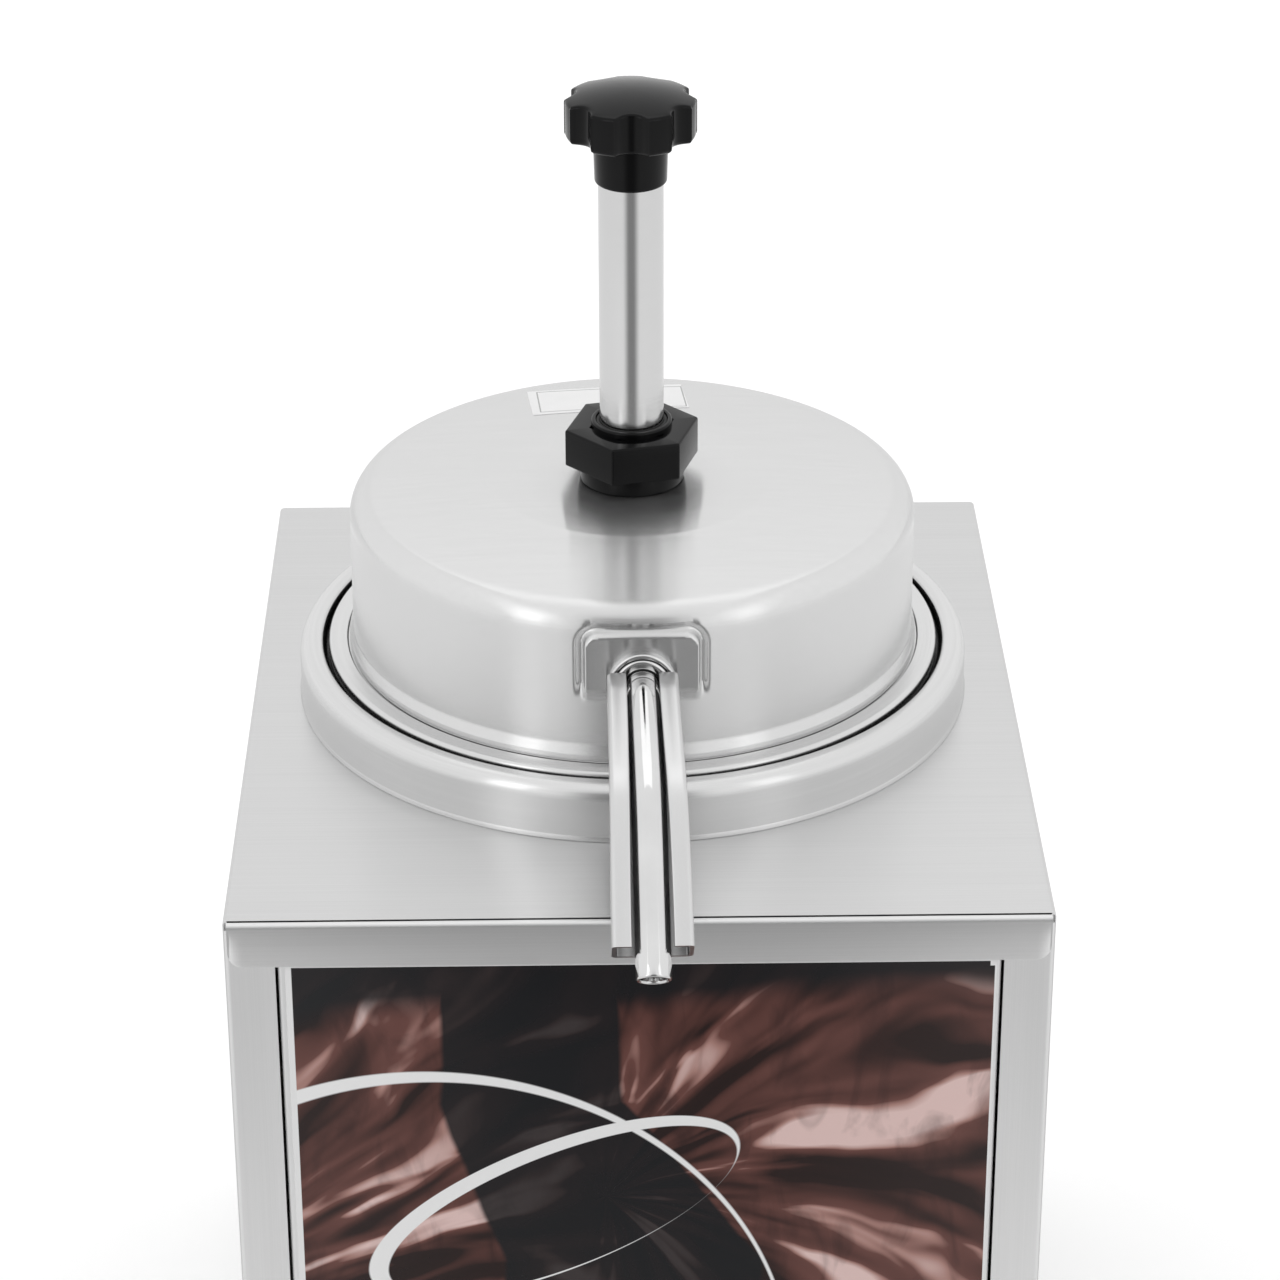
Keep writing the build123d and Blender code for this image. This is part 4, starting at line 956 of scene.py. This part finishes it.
def make_spout():
    """The outlet tube with its round rim. It starts inside the lid."""
    start, steps = 72, 48
    path = rounded([(start, SPOUT_Z), (LEVEL_END, SPOUT_Z), KNEE, TIP], [40.0, 46.0], 14, closed=False)
    path = dense(path, 4.0)

    def ring(point, normal, radius):
        return [in_spout(point + normal * radius * cos(2 * pi * k / steps), radius * sin(2 * pi * k / steps))
                for k in range(steps)]

    row = stations(path)
    rim = (SPOUT_R - SPOUT_BORE) / 2
    outer = [ring(p, n, SPOUT_R) for p, n, _, _ in row[:-1]]
    end, normal, tangent, _ = row[-1]
    seat = end - tangent * rim
    turn = [ring(seat + tangent * rim * sin(t), normal, SPOUT_BORE + rim + rim * cos(t))
            for t in (pi * i / 8 for i in range(9))]
    inner = [ring(p, n, SPOUT_BORE) for p, n, _, _ in row[-2::-1]]
    return loft("spout_pipe", outer + turn + inner, wrap=True, sharp=50)


def make_guard():
    """A folded channel under and beside the spout. It widens towards its lower end."""
    start = 88.3
    path = rounded([(start, SPOUT_Z), (LEVEL_END, SPOUT_Z), KNEE, GUARD_END], [30.0, 46.0], 14, closed=False)
    path = dense(path, 6.0)
    half, slot, over, under = 10.6, 5.75, 4.5, 8.0
    bent = rounded([(-slot, over), (-half, over), (-half, -under), (half, -under), (half, over),
                    (slot, over)], [1.3, 1.8, 1.8, 1.3], 5, closed=False)
    section = sheet_section(bent, 1.2, side=1)
    rings = []
    for point, normal, _, share in stations(path):
        widen = -0.55 + 1.1 * smooth(share)
        rings.append([in_spout(point + normal * q.y, q.x + (widen if q.x > 0 else -widen)) for q in section])
    return loft("spout_channel", rings, sharp=35)


piece("spout_pipe", make_spout(), POLISHED, "lid", "polished_steel", "spout_tube")
piece("spout_channel", make_guard(), GUARD_STEEL, "lid", "pump_steel", "spout_guard")
FITTING = place(AXIS / MM + UP * SPOUT_Z, ACROSS, FORWARD)
nut_ring = rounded([(8.25, 84.2), (9.5, 84.2), (9.5, 87.5), (8.25, 87.5)], [0, 0, 0.7, 0.2], 5)
piece("fitting_nut", turned("fitting_nut", nut_ring, FITTING, 96), POLISHED, "lid", "polished_steel",
      "spout_nut")
sleeve = rounded([(5.3, 70), (7.9, 70), (7.9, 88.1), (5.3, 88.1)], [0, 0, 0.8, 0.5], 5)
piece("fitting_sleeve", turned("fitting_sleeve", sleeve, FITTING, 96), POLISHED, "lid", "polished_steel",
      "spout_sleeve")


# ---------------------------------------------------------------- controls on the right side
def number(value, size):
    """The outline of a number as a flat mesh, centred on its own origin."""
    text = bpy.data.curves.new("number", "FONT")
    text.body = str(value)
    text.size = size
    text.align_x, text.align_y = "CENTER", "CENTER"
    return evaluated(linked("number", text))


def make_dial_marks():
    """Ticks and the numbers 0 to 9 round the knob, over the 270 degrees that it turns."""
    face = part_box("dial_plate")[1].x / MM + 0.03
    dial = facing_right(KNOB_Y, CONTROL_Z, face)
    ink, inner, number_r, number_size = 0.06, 20.2, 25.4, 4.4
    parts = []
    for i in range(28):
        long_tick = i % 3 == 0
        outer, half = (22.6, 0.25) if long_tick else (21.4, 0.15)
        a = radians(90 - 10 * i)
        corners = [Vector(p) for p in ((inner, -half), (outer, -half), (outer, half), (inner, half))]
        parts.append(plate("tick", [turn_by(corner, a) for corner in corners], dial, ink, bevel=0.0))
        if long_tick:
            digit = number(i // 3, number_size * MM)
            spot = turn_by(Vector((number_r, 0)), a)
            digit.transform(dial @ Matrix.Translation(Vector((spot.x, spot.y, ink)) * MM))
            parts.append(digit)
    return joined("dial_marks", *parts)


piece("dial_marks", make_dial_marks(), INK, "housing", "control_black")

# ---------------------------------------------------------------- CAD nodes that keep their shape
carried = {
    LIT_STRIP_STEEL: ("back_panel", "base_tray"),
    TUBE_STEEL: ("heater_bars", "pump_cylinder", "foot_valve"),
    POLISHED: ("sensor_bulb", "discharge_tube", "inlet_ball", "outlet_ball"),
    SCREW: ("foot_screws", "panel_screws", "heater_screws", "socket_screws", "spout_backnut",
            "spring_washer", "knob_stud", "thermostat_shaft"),
    RUBBER: ("feet", "well_gasket", "spout_seals", "piston_seal"),
    SATIN_BLACK: ("thermal_cutout", "thermostat_body", "thermostat_knob", "rocker_housing", "power_socket"),
    BLACK: ("rocker",),
    WHITE: ("terminal_block", "ball_retainer", "piston", "knob_pointer"),
    FIBRE: ("insulation_wrap",),
    ALLOY: ("heater_plate",),
    SHEATH: ("heater_element",),
    BRASS: ("socket_pins",),
    LEAD: ("internal_leads",),
    DIAL: ("dial_plate",),
    AMBER: ("indicator_lamp",),
}
for material, node_names in carried.items():
    for node_name in node_names:
        paint(node_name, material)
        shade(nodes[node_name].data, 30)


# ---------------------------------------------------------------- camera, floor and light
def add_camera():
    """The viewing angle: from in front and above, 27 degrees down."""
    pitch, yaw, roll = radians(27.30), radians(0.82), radians(-0.163)
    aside, away, rise = -13.93, 989.1, 598.0     # from the middle of the deck's front edge
    ahead = Vector((sin(yaw) * cos(pitch), cos(yaw) * cos(pitch), -sin(pitch)))
    right = Vector((cos(yaw), -sin(yaw), 0))
    above = right.cross(ahead)
    tilted_right = right * cos(roll) + above * sin(roll)
    tilted_above = above * cos(roll) - right * sin(roll)
    data = bpy.data.cameras.new("camera")
    data.sensor_width = 36.0
    data.lens = 117.94
    camera = linked("camera", data)
    spot = Vector((aside, FRONT - away, DECK_Z + rise)) * MM
    turn = Matrix((tilted_right, tilted_above, -ahead)).transposed().to_4x4()
    camera.matrix_world = Matrix.Translation(spot) @ turn
    bpy.context.scene.camera = camera


def add_softbox(name, azimuth, elevation, distance, width, height, radiance):
    """A soft light that faces the lid. Azimuth 0 is straight in front, 90 is on the right."""
    a, e = radians(azimuth), radians(elevation)
    aim = Vector((0, 0, DECK))
    spot = aim + Vector((sin(a) * cos(e), -cos(a) * cos(e), sin(e))) * distance
    data = bpy.data.lights.new(name, "AREA")
    data.shape = "RECTANGLE"
    data.size, data.size_y = width, height
    data.energy = radiance * pi * width * height
    light = linked(name, data)
    light.matrix_world = Matrix.Translation(spot) @ (aim - spot).to_track_quat("-Z", "Y").to_matrix().to_4x4()
    light.visible_camera = False


def add_floor():
    side = 6.0
    mesh = finish_mesh("floor", [(-side, -side, 0), (side, -side, 0), (side, side, 0), (-side, side, 0)],
                       [(0, 1, 2, 3)])
    floor = linked("floor", mesh)
    s = Shader("floor")
    seen = s.node("LightPath").outputs["Is Camera Ray"]
    x, y, _ = s.split(s.coords())
    # Painted shade: seen in reflections, the floor darkens in a wedge straight in front, most of all far from
    # the object.
    away = s.math("ABSOLUTE", s.math("ARCTAN2", x, s.times(y, -1.0)))        # 0 is straight in front
    gap = s.range(away, radians(GAP_INNER), radians(GAP_OUTER), 1.0, 0.0, smooth=True)
    depth = s.range(y, -0.60, -0.25, ROOM_FLOOR - GAP_FLOOR_SHADE, ROOM_FLOOR - NEAR_FLOOR_SHADE)
    tone = s.minus(ROOM_FLOOR, s.times(gap, depth))
    s.set(Roughness=0.9, Base_Color=s.mix(seen, s.grey(tone), (0.97, 0.97, 0.97)))
    s.set(Emission_Color=(1.0, 1.0, 1.0), Emission_Strength=s.times(seen, 0.16))
    mesh.materials.append(s.material)


def add_world():
    """A white room with a dim gap behind the camera. The backdrop itself is white."""
    world = bpy.data.worlds.new("studio")
    world.use_nodes = True
    n = Nodes(world.node_tree)
    x, y, z = n.split(n.node("TexCoord").outputs["Generated"])
    turned_to = n.math("ABSOLUTE", n.math("ARCTAN2", x, y))                  # pi is behind the camera
    gap = n.range(turned_to, pi - radians(GAP_OUTER), pi - radians(GAP_INNER), smooth=True)
    low = n.range(z, 0.55, 0.85, 1.0, 0.0, smooth=True)
    dim = n.range(n.times(gap, low), 0.0, 1.0, ROOM_LIGHT, GAP_LIGHT, smooth=True)
    seen = n.node("LightPath").outputs["Is Camera Ray"]
    n.link(n.math("MAXIMUM", dim, seen), n.tree.nodes["Background"].inputs["Color"])
    bpy.context.scene.world = world


ROOM_LIGHT, GAP_LIGHT = 0.98, 0.20           # radiance of the white room, and of the gap behind the camera
ROOM_FLOOR = 0.90                            # how light the floor is in reflections
NEAR_FLOOR_SHADE, GAP_FLOOR_SHADE = 0.74, 0.24           # the same within the gap, where the floor is painted darker as shade, close to the object and far from it
GAP_INNER, GAP_OUTER = 6.0, 31.0             # the gap fades between these angles from straight in front
add_camera()
add_floor()
add_world()
add_softbox("left_box", azimuth=-42, elevation=26, distance=1.6, width=0.35, height=1.0, radiance=0.75)
add_softbox("right_box", azimuth=46, elevation=26, distance=1.6, width=0.35, height=1.0, radiance=0.4)
add_softbox("top_box", azimuth=180, elevation=68, distance=1.9, width=1.4, height=0.8, radiance=0.4)
bpy.context.scene.view_settings.view_transform = "Standard"
